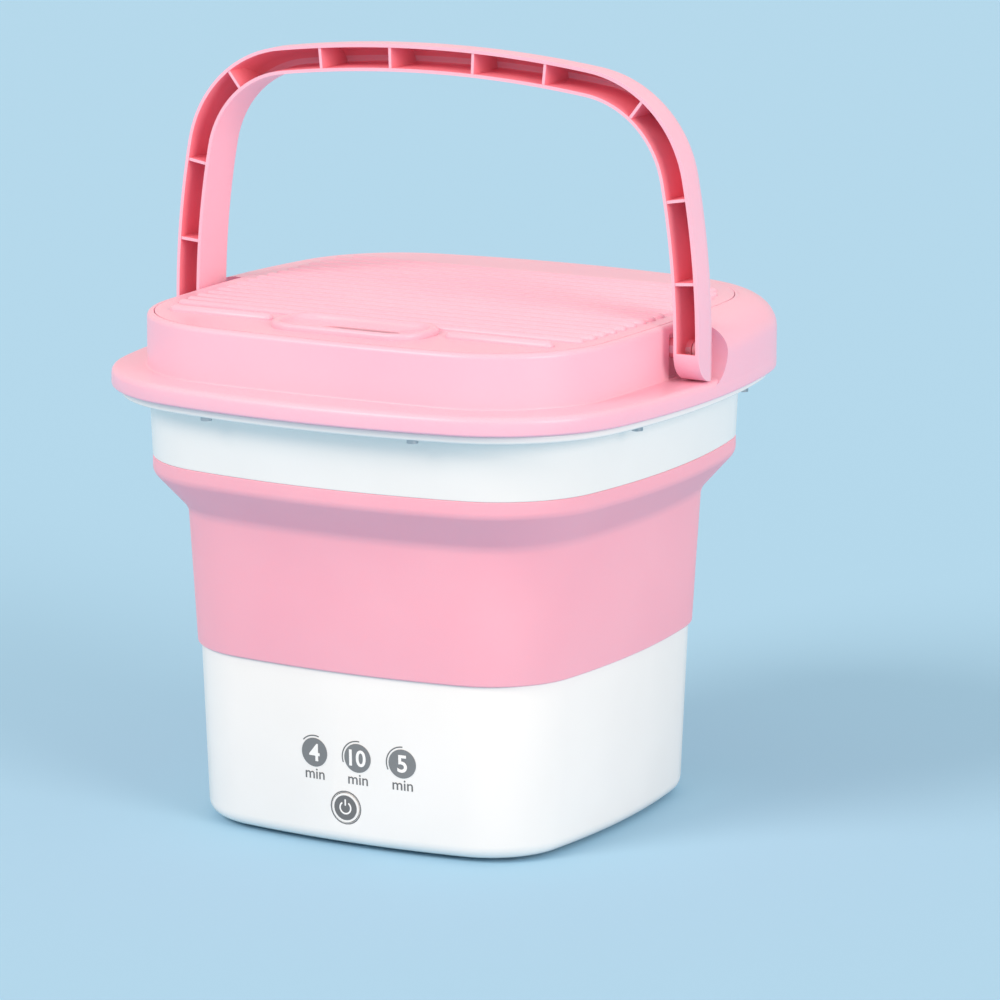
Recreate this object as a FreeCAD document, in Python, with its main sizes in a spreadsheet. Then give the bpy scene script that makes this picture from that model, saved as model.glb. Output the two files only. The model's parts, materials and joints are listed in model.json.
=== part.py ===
import FreeCAD, Part
import math
import os

import Sketcher
from FreeCAD import Placement, Rotation, Vector
from fcgear import fcgear, involute

# Portable folding mini washer, in millimetres. +Z is up, +X runs along the carrying handle,
# and -Y is the front, with the controls. The origin is on the floor under the middle.

doc = FreeCAD.newDocument("mini_washer")
sheet = doc.addObject("Spreadsheet::Sheet", "Sizes")

SIZES = {
    # Heights, one above the other from the floor.
    "foot_height": 2.0,
    "base_height": 88.0,
    "wall_height": 69.3,
    "shoulder_height": 18.7,
    "band_height": 7.3,
    "ring_height": 31.0,
    "lip_thickness": 4.0,
    "frame_seam": 0.4,
    "flange_thickness": 9.3,
    "block_height": 27.0,
    # Outlines: half the width at the middle of a side, the radius of the bowed side, the corner.
    "base_half": 102.5,
    "seam_half": 106.0,
    "base_bow": 430.0,
    "base_corner": 42.0,
    "ring_half": 128.2,
    "ring_flare": 1.3,
    "ring_bow": 400.0,
    "ring_corner": 57.7,
    "lip_overhang": 15.3,
    "flange_overhang": 19.9,
    "block_half": 127.4,
    "block_bow": 1000.0,
    "block_corner": 64.0,
    # White base: shell, bottom cover, feet and the ledge that the cover closes.
    "shell_wall": 2.5,
    "base_edge_radius": 7.0,
    "ledge_thickness": 4.5,
    "ledge_width": 14.5,
    "cover_thickness": 2.5,
    "cover_rebate": 8.2,
    "spigot_step": 1.8,
    "spigot_height": 7.0,
    "cover_screw_offset": 77.9,
    "foot_offset": 60.0,
    "foot_radius": 8.0,
    "vent_length": 38.0,
    "vent_width": 2.6,
    "vent_pitch": 6.5,
    # Wash basin.
    "floor_underside": 60.0,
    "floor_thickness": 3.0,
    "basin_wall": 2.4,
    "basin_rim": 2.5,
    "boss_radius": 13.0,
    "boss_rise": 3.0,
    "boss_drop": 10.0,
    # Pulsator and its drive.
    "shaft_radius": 4.0,
    "bush_radius": 6.5,
    "running_gap": 0.05,
    "pulsator_radius": 60.0,
    "pulsator_plate": 3.5,
    "pulsator_hub": 14.0,
    "vane_height": 9.0,
    "vane_width": 8.0,
    "gear_module": 1.0,
    "gear_width": 6.0,
    "gear_backlash": 0.25,
    "gear_top": 48.0,
    "motor_radius": 21.0,
    "motor_height": 28.0,
    "motor_shaft_radius": 1.6,
    "bracket_thickness": 2.0,
    "bracket_reach": 30.0,
    # Controls on the front of the base.
    "button_x": 1.0,
    "button_height": 21.5,
    "button_radius": 7.4,
    "button_gap": 0.35,
    "button_proud": 0.5,
    "button_travel": 0.8,
    "lens_x": -16.2,
    "lens_pitch": 24.4,
    "lens_height": 47.5,
    "lens_radius": 7.3,
    "board_back": 88.3,
    "board_thickness": 1.6,
    "board_width": 90.0,
    "board_height": 44.0,
    "board_bottom": 12.0,
    # Rear of the base: power inlet and drain.
    "jack_x": 50.0,
    "jack_height": 25.0,
    "jack_radius": 4.0,
    "drain_x": -45.0,
    "drain_y": 78.0,
    "drain_height": 46.0,
    "drain_bore": 6.5,
    "drain_wall": 2.0,
    # Soft folding wall.
    "soft_wall": 3.0,
    "soft_overhang": 1.8,
    "soft_lean": 3.7,
    "bead_height": 10.0,
    # Upper ring, top frame and lid.
    "ring_wall": 2.5,
    "frame_skirt": 6.5,
    "rim_width": 3.5,
    "lid_ledge": 6.5,
    "lid_depth": 8.0,
    "lid_gap": 0.35,
    "lid_plate": 3.0,
    "ridge_pitch": 9.8,
    "ridge_width": 6.0,
    "ridge_height": 2.2,
    "ridge_margin": 7.5,
    "bar_height": 3.0,
    "slot_length": 84.0,
    "slot_width": 38.0,
    "slot_y": -91.0,
    # Carrying handle.
    "pivot_y": -2.0,
    "arm_front": 14.5,
    "arm_back": 12.6,
    "arm_outer_depth": 13.0,
    "arm_width": 13.5,
    "handle_wall": 1.6,
    "handle_corner": 62.0,
    "handle_bow": 450.0,
    "handle_crown": 650.0,
    "pin_radius": 3.0,
    "hub_radius": 4.9,
    "swing_gap": 0.5,
}


def number(length):
    """The present value of a length, bound or plain."""
    return length.value if isinstance(length, Size) else length


def text(length):
    """What an expression writes for a length, bound or plain."""
    return length.text if isinstance(length, Size) else f"{length:.9g}"


class Size:
    """A length that follows the sheet: its present value, and the expression that gives it."""

    def __init__(self, value, words):
        self.value = value
        self.text = words

    def __add__(self, other):
        return Size(self.value + number(other), f"({self.text} + {text(other)})")

    def __sub__(self, other):
        return Size(self.value - number(other), f"({self.text} - {text(other)})")

    def __mul__(self, other):
        return Size(self.value * number(other), f"({self.text} * {text(other)})")

    def __truediv__(self, other):
        return Size(self.value / number(other), f"({self.text} / {text(other)})")

    def __radd__(self, other):
        return Size(number(other) + self.value, f"({text(other)} + {self.text})")

    def __rsub__(self, other):
        return Size(number(other) - self.value, f"({text(other)} - {self.text})")

    def __rtruediv__(self, other):
        return Size(number(other) / self.value, f"({text(other)} / {self.text})")

    def __rmul__(self, other):
        return Size(number(other) * self.value, f"({text(other)} * {self.text})")

    def __neg__(self):
        return 0 - self

    def root(self):
        """The square root, such as the long side of a right triangle from its squares."""
        return Size(math.sqrt(self.value), f"sqrt({self.text})")


class Lengths:
    """Every size in the sheet, by name."""


S = Lengths()
for row, (name, length) in enumerate(SIZES.items(), start=1):
    sheet.set(f"A{row}", name)
    sheet.set(f"B{row}", str(length))
    sheet.setAlias(f"B{row}", name)
    setattr(S, name, Size(length, f"Sizes.{name}"))
doc.recompute()

# Levels above the floor.
BASE_TOP = S.foot_height + S.base_height
WALL_TOP = BASE_TOP + S.wall_height
BAND_BOTTOM = WALL_TOP + S.shoulder_height
RING_BOTTOM = BAND_BOTTOM + S.band_height
LIP_BOTTOM = RING_BOTTOM + S.ring_height
LIP_TOP = LIP_BOTTOM + S.lip_thickness
FLANGE_BOTTOM = LIP_TOP + S.frame_seam
FLANGE_TOP = FLANGE_BOTTOM + S.flange_thickness
RIM = FLANGE_TOP + S.block_height
PIVOT_Z = FLANGE_TOP + S.arm_front + S.swing_gap

parts = {}
planes = {"XY_Plane": Vector(0, 0, 1), "XZ_Plane": Vector(0, -1, 0), "YZ_Plane": Vector(1, 0, 0)}


# ---- Ways of building -------------------------------------------------------------------------


def bind(thing, prop, length):
    """Gives a property its length, and the expression if the length follows the sheet."""
    if isinstance(length, Size):
        thing.setExpression(prop, length.text)
    elif "." not in prop:
        setattr(thing, prop, length)


def place(thing, x=0.0, y=0.0, z=0.0, turn=None):
    """Sets where a piece stands, with its position bound to the sheet."""
    thing.Placement = Placement(Vector(number(x), number(y), number(z)), turn or Rotation())
    for axis, length in zip("xyz", (x, y, z)):
        bind(thing, f"Placement.Base.{axis}", length)
    return thing


def new_body(name, keep=True):
    """An empty body, which keeps several solids when its piece is a group."""
    body = doc.addObject("PartDesign::Body", name)
    body.Label = name
    body.AllowCompound = True
    if keep:
        parts[name] = body
    return body


def keep_part(thing, name):
    """Names a finished piece."""
    thing.Label = name
    parts[name] = thing
    return thing


def sketch(body, plane="XY_Plane", offset=0.0):
    """A sketch on one of the body's own planes, or a free one when there is no body."""
    if body is None:
        flat = doc.addObject("Sketcher::SketchObject", "outline")
        flat.Placement = Placement(Vector(0, 0, number(offset)), Rotation())
        bind(flat, "Placement.Base.z", offset)
        return flat
    flat = body.newObject("Sketcher::SketchObject", f"{body.Name}_{plane[:2].lower()}")
    origin_plane = next(f for f in body.Origin.OriginFeatures if f.Role == plane)
    flat.AttachmentSupport = [(origin_plane, "")]
    flat.MapMode = "FlatFace"
    flat.AttachmentOffset = Placement(Vector(0, 0, number(offset)), Rotation())
    bind(flat, "AttachmentOffset.Base.z", offset)
    return flat


def datum(flat, kind, *which_and_length):
    """A sized constraint whose length follows the sheet."""
    *which, length = which_and_length
    index = flat.addConstraint(Sketcher.Constraint(kind, *which, number(length)))
    if isinstance(length, Size):
        flat.setExpression(f"Constraints[{index}]", length.text)


def draw_circle(flat, x, y, radius):
    """A circle with its centre and radius sized."""
    centre = Vector(number(x), number(y), 0)
    ring = flat.addGeometry(Part.Circle(centre, Vector(0, 0, 1), number(radius)), False)
    datum(flat, "DistanceX", -1, 1, ring, 3, x)
    datum(flat, "DistanceY", -1, 1, ring, 3, y)
    datum(flat, "Radius", ring, radius)


def draw_polygon(flat, points):
    """A closed run of straight lines through sized corners."""
    spots = [Vector(number(x), number(y), 0) for x, y in points]
    lines = []
    for start, end in zip(spots, spots[1:] + spots[:1]):
        lines.append(flat.addGeometry(Part.LineSegment(start, end), False))
    for line, after in zip(lines, lines[1:] + lines[:1]):
        flat.addConstraint(Sketcher.Constraint("Coincident", line, 2, after, 1))
    for line, (x, y) in zip(lines, points):
        datum(flat, "DistanceX", -1, 1, line, 1, x)
        datum(flat, "DistanceY", -1, 1, line, 1, y)


def draw_box(flat, left, low, right, high):
    """A rectangle between two sized corners."""
    draw_polygon(flat, [(left, low), (right, low), (right, high), (left, high)])


def corner_centre(half, rise, bow, corner, crown):
    """The centre of the corner arc that is tangent to a bowed side and a bowed top."""
    side = half - bow
    top = rise - crown
    apart = math.hypot(side, top)
    along = ((bow - corner) ** 2 - (crown - corner) ** 2 + apart**2) / (2 * apart)
    reach = math.sqrt((bow - corner) ** 2 - along**2)
    share = along / apart
    return side * (1 - share) - reach * top / apart, top * share - reach * side / apart


def draw_outline(flat, half, bow, corner):
    """The washer's outline: four sides bowed to one radius, blended by four round corners."""
    w, bow_now, corner_now = number(half), number(bow), number(corner)
    centre = w - bow_now
    c, _ = corner_centre(w, w, bow_now, corner_now, bow_now)
    sweep = math.atan2(c, c - centre)
    first = flat.GeometryCount
    for quarter in range(4):
        turn = quarter * math.pi / 2
        ahead = Vector(math.cos(turn), math.sin(turn), 0)
        across = Vector(-math.sin(turn), math.cos(turn), 0)
        side = Part.Circle(ahead * centre, Vector(0, 0, 1), bow_now)
        flat.addGeometry(Part.ArcOfCircle(side, turn - sweep, turn + sweep), False)
        bend = Part.Circle((ahead + across) * c, Vector(0, 0, 1), corner_now)
        arc = Part.ArcOfCircle(bend, turn + sweep, turn + math.pi / 2 - sweep)
        flat.addGeometry(arc, False)
    for k in range(8):
        joint = Sketcher.Constraint("Tangent", first + k, 2, first + (k + 1) % 8, 1)
        flat.addConstraint(joint)
    for quarter in range(4):
        side = first + 2 * quarter
        axis = -1 if quarter % 2 == 0 else -2
        flat.addConstraint(Sketcher.Constraint("PointOnObject", side, 3, axis))
        sign = 1 if quarter < 2 else -1
        kind = "DistanceX" if axis == -1 else "DistanceY"
        datum(flat, kind, -1, 1, side, 3, sign * (half - bow))
        datum(flat, "Radius", side, bow)
        datum(flat, "Radius", side + 1, corner)


def base_outline(body, level, half):
    """The base family's outline at a level, parallel to the foot of the base."""
    flat = sketch(body, offset=level)
    grown = half - S.base_half
    draw_outline(flat, half, S.base_bow + grown, S.base_corner + grown)
    return flat


def ring_outline(body, level, half):
    """The ring family's outline: the upper ring, its lip and the flange."""
    flat = sketch(body, offset=level)
    grown = half - S.ring_half
    draw_outline(flat, half, S.ring_bow + grown, S.ring_corner + grown)
    return flat


def block_outline(body, level, half):
    """The block family's outline: the raised block, its opening and the lid."""
    flat = sketch(body, offset=level)
    grown = half - S.block_half
    draw_outline(flat, half, S.block_bow + grown, S.block_corner + grown)
    return flat


def changed(body, feature, grows):
    """Rebuilds, and stops if the feature did nothing to the solid."""
    body.Tip = feature
    doc.recompute()
    before = feature.BaseFeature.Shape.Volume if feature.BaseFeature else 0.0
    after = feature.Shape.Volume
    if (after - before if grows else before - after) < 1e-3:
        raise RuntimeError(f"{body.Label}: {feature.Name} changes nothing")
    return feature


def pad(body, flat, length, middle=False, back=False):
    """Raises a sketch into a solid."""
    feature = body.newObject("PartDesign::Pad", f"{body.Name}_pad")
    feature.Profile = flat
    bind(feature, "Length", length)
    feature.Midplane = middle
    feature.Reversed = back
    return changed(body, feature, True)


def pocket(body, flat, length, middle=False, back=False):
    """Cuts a sketch into the solid, against the sketch's own direction."""
    feature = body.newObject("PartDesign::Pocket", f"{body.Name}_pocket")
    feature.Profile = flat
    bind(feature, "Length", length)
    feature.Midplane = middle
    feature.Reversed = back
    return changed(body, feature, False)


def loft(body, flats, add=True):
    """A straight-walled loft through outlines, added to the solid or cut from it."""
    kind = "PartDesign::AdditiveLoft" if add else "PartDesign::SubtractiveLoft"
    feature = body.newObject(kind, f"{body.Name}_loft")
    feature.Profile = flats[0]
    feature.Sections = flats[1:]
    feature.Ruled = True
    return changed(body, feature, add)


def turned(body, points):
    """A turned solid: a half section of (radius, height) corners, spun about the body's Z axis."""
    flat = sketch(body, "XZ_Plane")
    draw_polygon(flat, points)
    feature = body.newObject("PartDesign::Revolution", f"{body.Name}_turn")
    feature.Profile = flat
    feature.ReferenceAxis = (flat, ["V_Axis"])
    feature.Angle = 360
    return changed(body, feature, True)


def round_edges(body, radius, chosen):
    """Fillets the edges of the present solid that the test picks."""
    base = body.Tip
    names = [f"Edge{k}" for k, e in enumerate(base.Shape.Edges, start=1) if chosen(e)]
    feature = body.newObject("PartDesign::Fillet", f"{body.Name}_fillet")
    feature.Base = (base, names)
    bind(feature, "Radius", radius)
    body.Tip = feature
    doc.recompute()
    return feature


def polar(body, features, count):
    """Repeats features round the body's Z axis."""
    feature = body.newObject("PartDesign::PolarPattern", f"{body.Name}_polar")
    feature.Originals = features
    z_axis = next(f for f in body.Origin.OriginFeatures if f.Role == "Z_Axis")
    feature.Axis = (z_axis, [""])
    feature.Angle = 360
    feature.Occurrences = count
    body.Tip = feature
    doc.recompute()
    return feature


def linear(body, features, role, span, count):
    """Repeats features along one of the body's axes, over a whole span."""
    feature = body.newObject("PartDesign::LinearPattern", f"{body.Name}_row")
    feature.Originals = features
    axis = next(f for f in body.Origin.OriginFeatures if f.Role == role)
    feature.Direction = (axis, [""])
    bind(feature, "Length", span)
    feature.Occurrences = count
    body.Tip = feature
    doc.recompute()
    return feature


def at_level(edge, level):
    """True for an edge that lies flat at a level."""
    box = edge.BoundBox
    return abs(box.ZMin - level) < 1e-3 and abs(box.ZMax - level) < 1e-3


def four_corners(offset):
    """The four places at the same distance from both middle planes."""
    return [(sx * offset, sy * offset) for sx in (-1, 1) for sy in (-1, 1)]


# ---- White base --------------------------------------------------------------------------------

CAVITY_LOW = S.foot_height + S.ledge_thickness
SPIGOT_TOP = BASE_TOP + S.spigot_height
SPIGOT_HALF = S.seam_half - S.spigot_step
CAVITY_LOW_HALF = S.base_half - S.shell_wall
CAVITY_TOP_HALF = SPIGOT_HALF - S.shell_wall
COVER_HALF = S.base_half - S.cover_rebate
SCREW_SHANK = 1.5
SCREW_HOLE = 1.5
SCREW_HEAD = 2.8


def front_plane(body, depth):
    """A sketch on a plane that stands across Y, at a depth towards the front."""
    return sketch(body, "XZ_Plane", depth)


def cavity_half(level):
    """Half the width inside the shell at a level."""
    share = (level - CAVITY_LOW) / (SPIGOT_TOP - CAVITY_LOW)
    return CAVITY_LOW_HALF + (CAVITY_TOP_HALF - CAVITY_LOW_HALF) * share


def face_half(level):
    """Half the width outside the shell at a level."""
    share = (level - S.foot_height) / S.base_height
    return S.base_half + (S.seam_half - S.base_half) * share


BOARD_MID_X = S.lens_x + S.lens_pitch
BOARD_FRONT = S.board_back + S.board_thickness
POST_INSET = 5.0
BOARD_POSTS = [
    (BOARD_MID_X + side * (S.board_width / 2 - POST_INSET), S.board_bottom + height)
    for side in (-1, 1)
    for height in (POST_INSET, S.board_height - POST_INSET)
]
LENS_SPOTS = [(S.lens_x + S.lens_pitch * k, S.lens_height) for k in range(3)]
JACK_SEAT = face_half(S.jack_height) - S.jack_x * S.jack_x / (S.base_bow * 2) - 1.0
JACK_BORE = 2.75
JACK_BORE_DEPTH = 9.5

# Base shell: one moulding, open below, with a spigot on top that the soft wall is moulded round.
shell = new_body("base_shell")
loft(shell, [base_outline(shell, S.foot_height, S.base_half), base_outline(shell, BASE_TOP, S.seam_half)])
round_edges(shell, S.base_edge_radius, lambda e: at_level(e, number(S.foot_height)))
pad(shell, base_outline(shell, BASE_TOP, SPIGOT_HALF), S.spigot_height)
loft(
    shell,
    [
        base_outline(shell, CAVITY_LOW, CAVITY_LOW_HALF),
        base_outline(shell, SPIGOT_TOP, CAVITY_TOP_HALF),
    ],
    add=False,
)
pocket(shell, base_outline(shell, CAVITY_LOW, S.base_half - S.ledge_width), S.ledge_thickness)
rebate_top = S.foot_height + S.cover_thickness
pocket(shell, base_outline(shell, rebate_top, COVER_HALF + 0.25), S.cover_thickness)
bosses = sketch(shell, offset=CAVITY_LOW)
for x, y in four_corners(S.cover_screw_offset):
    draw_circle(bosses, x, y, 4.0)
pad(shell, bosses, 10.0)
pilot = sketch(shell, offset=CAVITY_LOW + 9.0)
for x, y in four_corners(S.cover_screw_offset):
    draw_circle(pilot, x, y, SCREW_HOLE)
pocket(shell, pilot, 9.0 + S.ledge_thickness)
posts = front_plane(shell, BOARD_FRONT)
for x, z in BOARD_POSTS:
    draw_circle(posts, x, z, 3.0)
pad(shell, posts, S.base_half - S.shell_wall - BOARD_FRONT + 0.8)
post_pilots = front_plane(shell, BOARD_FRONT)
for x, z in BOARD_POSTS:
    draw_circle(post_pilots, x, z, 1.25)
pocket(shell, post_pilots, 6.0, back=True)
front_holes = front_plane(shell, S.base_half - S.shell_wall - 6)
draw_circle(front_holes, S.button_x, S.button_height, S.button_radius + S.button_gap)
for x, z in LENS_SPOTS:
    draw_circle(front_holes, x, z, S.lens_radius)
pocket(shell, front_holes, 16.0, back=True)
rear_holes = front_plane(shell, -(S.base_half - S.shell_wall - 6))
draw_circle(rear_holes, S.jack_x, S.jack_height, S.jack_radius + 0.1)
draw_circle(rear_holes, S.drain_x, S.drain_height, S.drain_bore + S.drain_wall + 0.1)
pocket(shell, rear_holes, 16.0)
jack_flat = front_plane(shell, -JACK_SEAT)
draw_circle(jack_flat, S.jack_x, S.jack_height, S.jack_radius + 2.3)
pocket(shell, jack_flat, 8.0)

# Bottom cover: a plate in the shell's rebate, with vents under the motor.
cover = new_body("bottom_cover")
pad(cover, base_outline(cover, S.foot_height, COVER_HALF), S.cover_thickness)
holes = sketch(cover, offset=rebate_top)
for x, y in four_corners(S.cover_screw_offset):
    draw_circle(holes, x, y, SCREW_HOLE + 0.2)
for x, y in four_corners(S.foot_offset):
    draw_circle(holes, x, y, 3.0)
pocket(cover, holes, S.cover_thickness)
sinks = sketch(cover, offset=S.foot_height + 1.5)
for x, y in four_corners(S.cover_screw_offset):
    draw_circle(sinks, x, y, SCREW_HEAD + 0.2)
pocket(cover, sinks, 1.5)
VENTS = 9
vent = sketch(cover, offset=rebate_top)
first_vent = -S.vent_pitch * ((VENTS - 1) / 2)
draw_box(
    vent,
    -(S.vent_length / 2),
    first_vent - S.vent_width / 2,
    S.vent_length / 2,
    first_vent + S.vent_width / 2,
)
vent_cut = pocket(cover, vent, S.cover_thickness)
linear(cover, [vent_cut], "Y_Axis", S.vent_pitch * (VENTS - 1), VENTS)


def corner_group(name, offset, points):
    """One turned piece at a corner, repeated at all four."""
    body = new_body(name)
    flat = sketch(body, "XZ_Plane", -offset)
    draw_polygon(flat, [(offset + r, z) for r, z in points])
    axis = flat.addGeometry(
        Part.LineSegment(Vector(number(offset), 0, 0), Vector(number(offset), 20, 0)), True
    )
    flat.addConstraint(Sketcher.Constraint("Vertical", axis))
    datum(flat, "DistanceX", -1, 1, axis, 1, offset)
    datum(flat, "DistanceY", -1, 1, axis, 1, 0.0)
    datum(flat, "DistanceY", -1, 1, axis, 2, 20.0)
    turn = body.newObject("PartDesign::Revolution", f"{name}_turn")
    turn.Profile = flat
    turn.ReferenceAxis = (flat, ["Axis0"])
    turn.Angle = 360
    changed(body, turn, True)
    polar(body, [turn], 4)
    return body


corner_group(
    "cover_screws",
    S.cover_screw_offset,
    [
        (0, S.foot_height + 0.1),
        (SCREW_HEAD, S.foot_height + 0.1),
        (SCREW_HEAD, S.foot_height + 0.6),
        (SCREW_SHANK, S.foot_height + 1.5),
        (SCREW_SHANK, S.foot_height + 11.5),
        (0, S.foot_height + 11.5),
    ],
)
corner_group(
    "rubber_feet",
    S.foot_offset,
    [
        (0, 0),
        (S.foot_radius - 0.8, 0),
        (S.foot_radius, 0.8),
        (S.foot_radius, S.foot_height),
        (2.9, S.foot_height),
        (2.9, rebate_top + 0.4),
        (0, rebate_top + 0.4),
    ],
)

# Wash basin: the wet side's floor and wall, dropped into the shell, with the shaft boss.
FLOOR_TOP = S.floor_underside + S.floor_thickness
BASIN_GAP = 0.25
RIM_TOP = SPIGOT_TOP + S.basin_rim
basin_low_half = cavity_half(S.floor_underside) - BASIN_GAP
basin_top_half = CAVITY_TOP_HALF - BASIN_GAP
basin = new_body("wash_basin")
loft(
    basin,
    [
        base_outline(basin, S.floor_underside, basin_low_half),
        base_outline(basin, SPIGOT_TOP, basin_top_half),
    ],
)
round_edges(basin, 6.0, lambda e: at_level(e, number(S.floor_underside)))
pad(basin, base_outline(basin, SPIGOT_TOP, SPIGOT_HALF), S.basin_rim)
loft(
    basin,
    [
        base_outline(basin, FLOOR_TOP, basin_low_half - S.basin_wall),
        base_outline(basin, RIM_TOP, basin_top_half - S.basin_wall),
    ],
    add=False,
)
round_edges(basin, 4.0, lambda e: at_level(e, number(FLOOR_TOP)))
boss = sketch(basin, offset=S.floor_underside - S.boss_drop)
draw_circle(boss, 0, 0, S.boss_radius)
pad(basin, boss, S.boss_drop + S.floor_thickness + S.boss_rise)
GEAR_CENTRES = S.gear_module * 30 + S.gear_backlash
MOTOR_TOP = S.gear_top - S.gear_width - 4.0
BRACKET_TOP = MOTOR_TOP + S.bracket_thickness
bracket_posts = [
    (GEAR_CENTRES + sx * (S.bracket_reach - 12), sy * S.bracket_reach)
    for sx in (-1, 1)
    for sy in (-1, 1)
]
stand_offs = sketch(basin, offset=BRACKET_TOP)
for x, y in bracket_posts:
    draw_circle(stand_offs, x, y, 4.0)
pad(basin, stand_offs, S.floor_underside - BRACKET_TOP + 1.0)
post_holes = sketch(basin, offset=BRACKET_TOP + 12.0)
for x, y in bracket_posts:
    draw_circle(post_holes, x, y, SCREW_HOLE)
pocket(basin, post_holes, 12.0)
bores = sketch(basin, offset=FLOOR_TOP + S.boss_rise)
draw_circle(bores, 0, 0, S.bush_radius)
draw_circle(bores, S.drain_x, S.drain_y, S.drain_bore)
pocket(basin, bores, S.boss_drop + S.floor_thickness + S.boss_rise)

# Drain elbow: from the basin's floor down and out through the back of the shell.
elbow = new_body("drain_elbow")
ELBOW_RADIUS = S.drain_bore + S.drain_wall
elbow_low = S.drain_height - ELBOW_RADIUS
down = sketch(elbow, offset=elbow_low)
draw_circle(down, S.drain_x, S.drain_y, ELBOW_RADIUS)
pad(elbow, down, S.floor_underside - elbow_low)
out = front_plane(elbow, -S.drain_y)
draw_circle(out, S.drain_x, S.drain_height, ELBOW_RADIUS)
ELBOW_END = face_half(S.drain_height) + 1.5
pad(elbow, out, ELBOW_END - S.drain_y, back=True)
down_bore = sketch(elbow, offset=S.floor_underside)
draw_circle(down_bore, S.drain_x, S.drain_y, S.drain_bore)
pocket(elbow, down_bore, S.floor_underside - elbow_low - S.drain_wall)
out_bore = front_plane(elbow, -S.drain_y)
draw_circle(out_bore, S.drain_x, S.drain_height, S.drain_bore)
pocket(elbow, out_bore, ELBOW_END - S.drain_y)

# Drain plug: a rubber stopper with a pull tab, pushed into the elbow from behind.
plug = new_body("drain_plug")
PLUG_GAP = 0.3
stem = front_plane(plug, -(ELBOW_END + PLUG_GAP))
draw_circle(stem, S.drain_x, S.drain_height, S.drain_bore - PLUG_GAP)
pad(plug, stem, 12.0)
cap = front_plane(plug, -(ELBOW_END + PLUG_GAP))
draw_circle(cap, S.drain_x, S.drain_height, ELBOW_RADIUS + 1.5)
pad(plug, cap, 3.0, back=True)
tab = front_plane(plug, -(ELBOW_END + PLUG_GAP + 3.0))
draw_box(tab, S.drain_x - 4, S.drain_height - 1.5, S.drain_x + 4, S.drain_height + 1.5)
pad(plug, tab, 9.0, back=True)

# ---- Drive --------------------------------------------------------------------------------------


def gear_feature(name, teeth, module, width, bore):
    """A spur gear with involute teeth, its bore open, standing on its own origin."""
    builder = fcgear.FCWireBuilder()
    involute.CreateExternalGear(builder, module, teeth, 20.0, True, 0.95, 1.25)
    rim = Part.Wire([curve.toShape() for curve in builder.wire])
    blank = Part.Face(rim).extrude(Vector(0, 0, width))
    thing = doc.addObject("Part::Feature", name)
    thing.Shape = blank.cut(Part.makeCylinder(bore, width))
    return thing


def turned_part(name, points, x=0.0, y=0.0):
    """A turned piece of its own, standing at a place."""
    body = new_body(name)
    turned(body, points)
    place(body, x, y)
    return body


GEAR_BOTTOM = S.gear_top - S.gear_width
WHEEL_TEETH = 45
PINION_TEETH = 15
SHAFT_BOTTOM = GEAR_BOTTOM - 4.0
SHAFT_TOP = FLOOR_TOP + S.boss_rise + 9.0
wheel = gear_feature(
    "drive_gear", WHEEL_TEETH, S.gear_module.value, S.gear_width.value, S.shaft_radius.value
)
place(keep_part(wheel, "drive_gear"), 0.0, 0.0, GEAR_BOTTOM)
pinion = gear_feature(
    "motor_pinion",
    PINION_TEETH,
    S.gear_module.value,
    S.gear_width.value,
    S.motor_shaft_radius.value,
)
place(keep_part(pinion, "motor_pinion"), GEAR_CENTRES, 0.0, GEAR_BOTTOM)

turned_part(
    "pulsator_shaft",
    [
        (0, SHAFT_BOTTOM),
        (S.shaft_radius, SHAFT_BOTTOM),
        (S.shaft_radius, SHAFT_TOP),
        (2.0, SHAFT_TOP),
        (2.0, SHAFT_TOP - 8),
        (0, SHAFT_TOP - 8),
    ],
)
turned_part(
    "shaft_circlip",
    [
        (S.shaft_radius, GEAR_BOTTOM - 1.2),
        (S.shaft_radius + 2.5, GEAR_BOTTOM - 1.2),
        (S.shaft_radius + 2.5, GEAR_BOTTOM),
        (S.shaft_radius, GEAR_BOTTOM),
    ],
)
bush_low = S.floor_underside - S.boss_drop + 1.0
bush_high = S.floor_underside
turned_part(
    "shaft_bush",
    [
        (S.shaft_radius + S.running_gap, bush_low),
        (S.bush_radius, bush_low),
        (S.bush_radius, bush_high),
        (S.shaft_radius + S.running_gap, bush_high),
    ],
)
seal_top = FLOOR_TOP + S.boss_rise
turned_part(
    "shaft_seal",
    [
        (S.shaft_radius + S.running_gap, bush_high + 0.5),
        (S.bush_radius, bush_high + 0.5),
        (S.bush_radius, seal_top),
        (S.shaft_radius + 1.2, seal_top),
        (S.shaft_radius + 1.2, bush_high + 2.5),
        (S.shaft_radius + S.running_gap, bush_high + 2.5),
    ],
)

# Pulsator: a dished disc with a hub and four vanes, held on the shaft by one screw.
PULSATOR_LOW = seal_top + 1.0
HUB_TOP = SHAFT_TOP + 4.0
pulsator = new_body("pulsator")
turned(
    pulsator,
    [
        (S.shaft_radius, PULSATOR_LOW),
        (S.pulsator_radius, PULSATOR_LOW),
        (S.pulsator_radius, PULSATOR_LOW + S.pulsator_plate + 1.5),
        (S.pulsator_radius - 3, PULSATOR_LOW + S.pulsator_plate + 1.5),
        (S.pulsator_radius - 8, PULSATOR_LOW + S.pulsator_plate),
        (S.pulsator_hub + 6, PULSATOR_LOW + S.pulsator_plate),
        (S.pulsator_hub, HUB_TOP - 2),
        (S.pulsator_hub - 4, HUB_TOP),
        (2.4, HUB_TOP),
        (2.4, SHAFT_TOP + 0.5),
        (S.shaft_radius, SHAFT_TOP + 0.5),
    ],
)
fin = front_plane(pulsator, 0.0)
fin_low = PULSATOR_LOW + S.pulsator_plate - 0.5
draw_polygon(
    fin,
    [
        (S.pulsator_hub - 2, fin_low),
        (S.pulsator_radius - 4, fin_low),
        (S.pulsator_radius - 9, fin_low + S.vane_height * 0.55),
        (S.pulsator_hub - 2, fin_low + S.vane_height),
    ],
)
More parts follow.
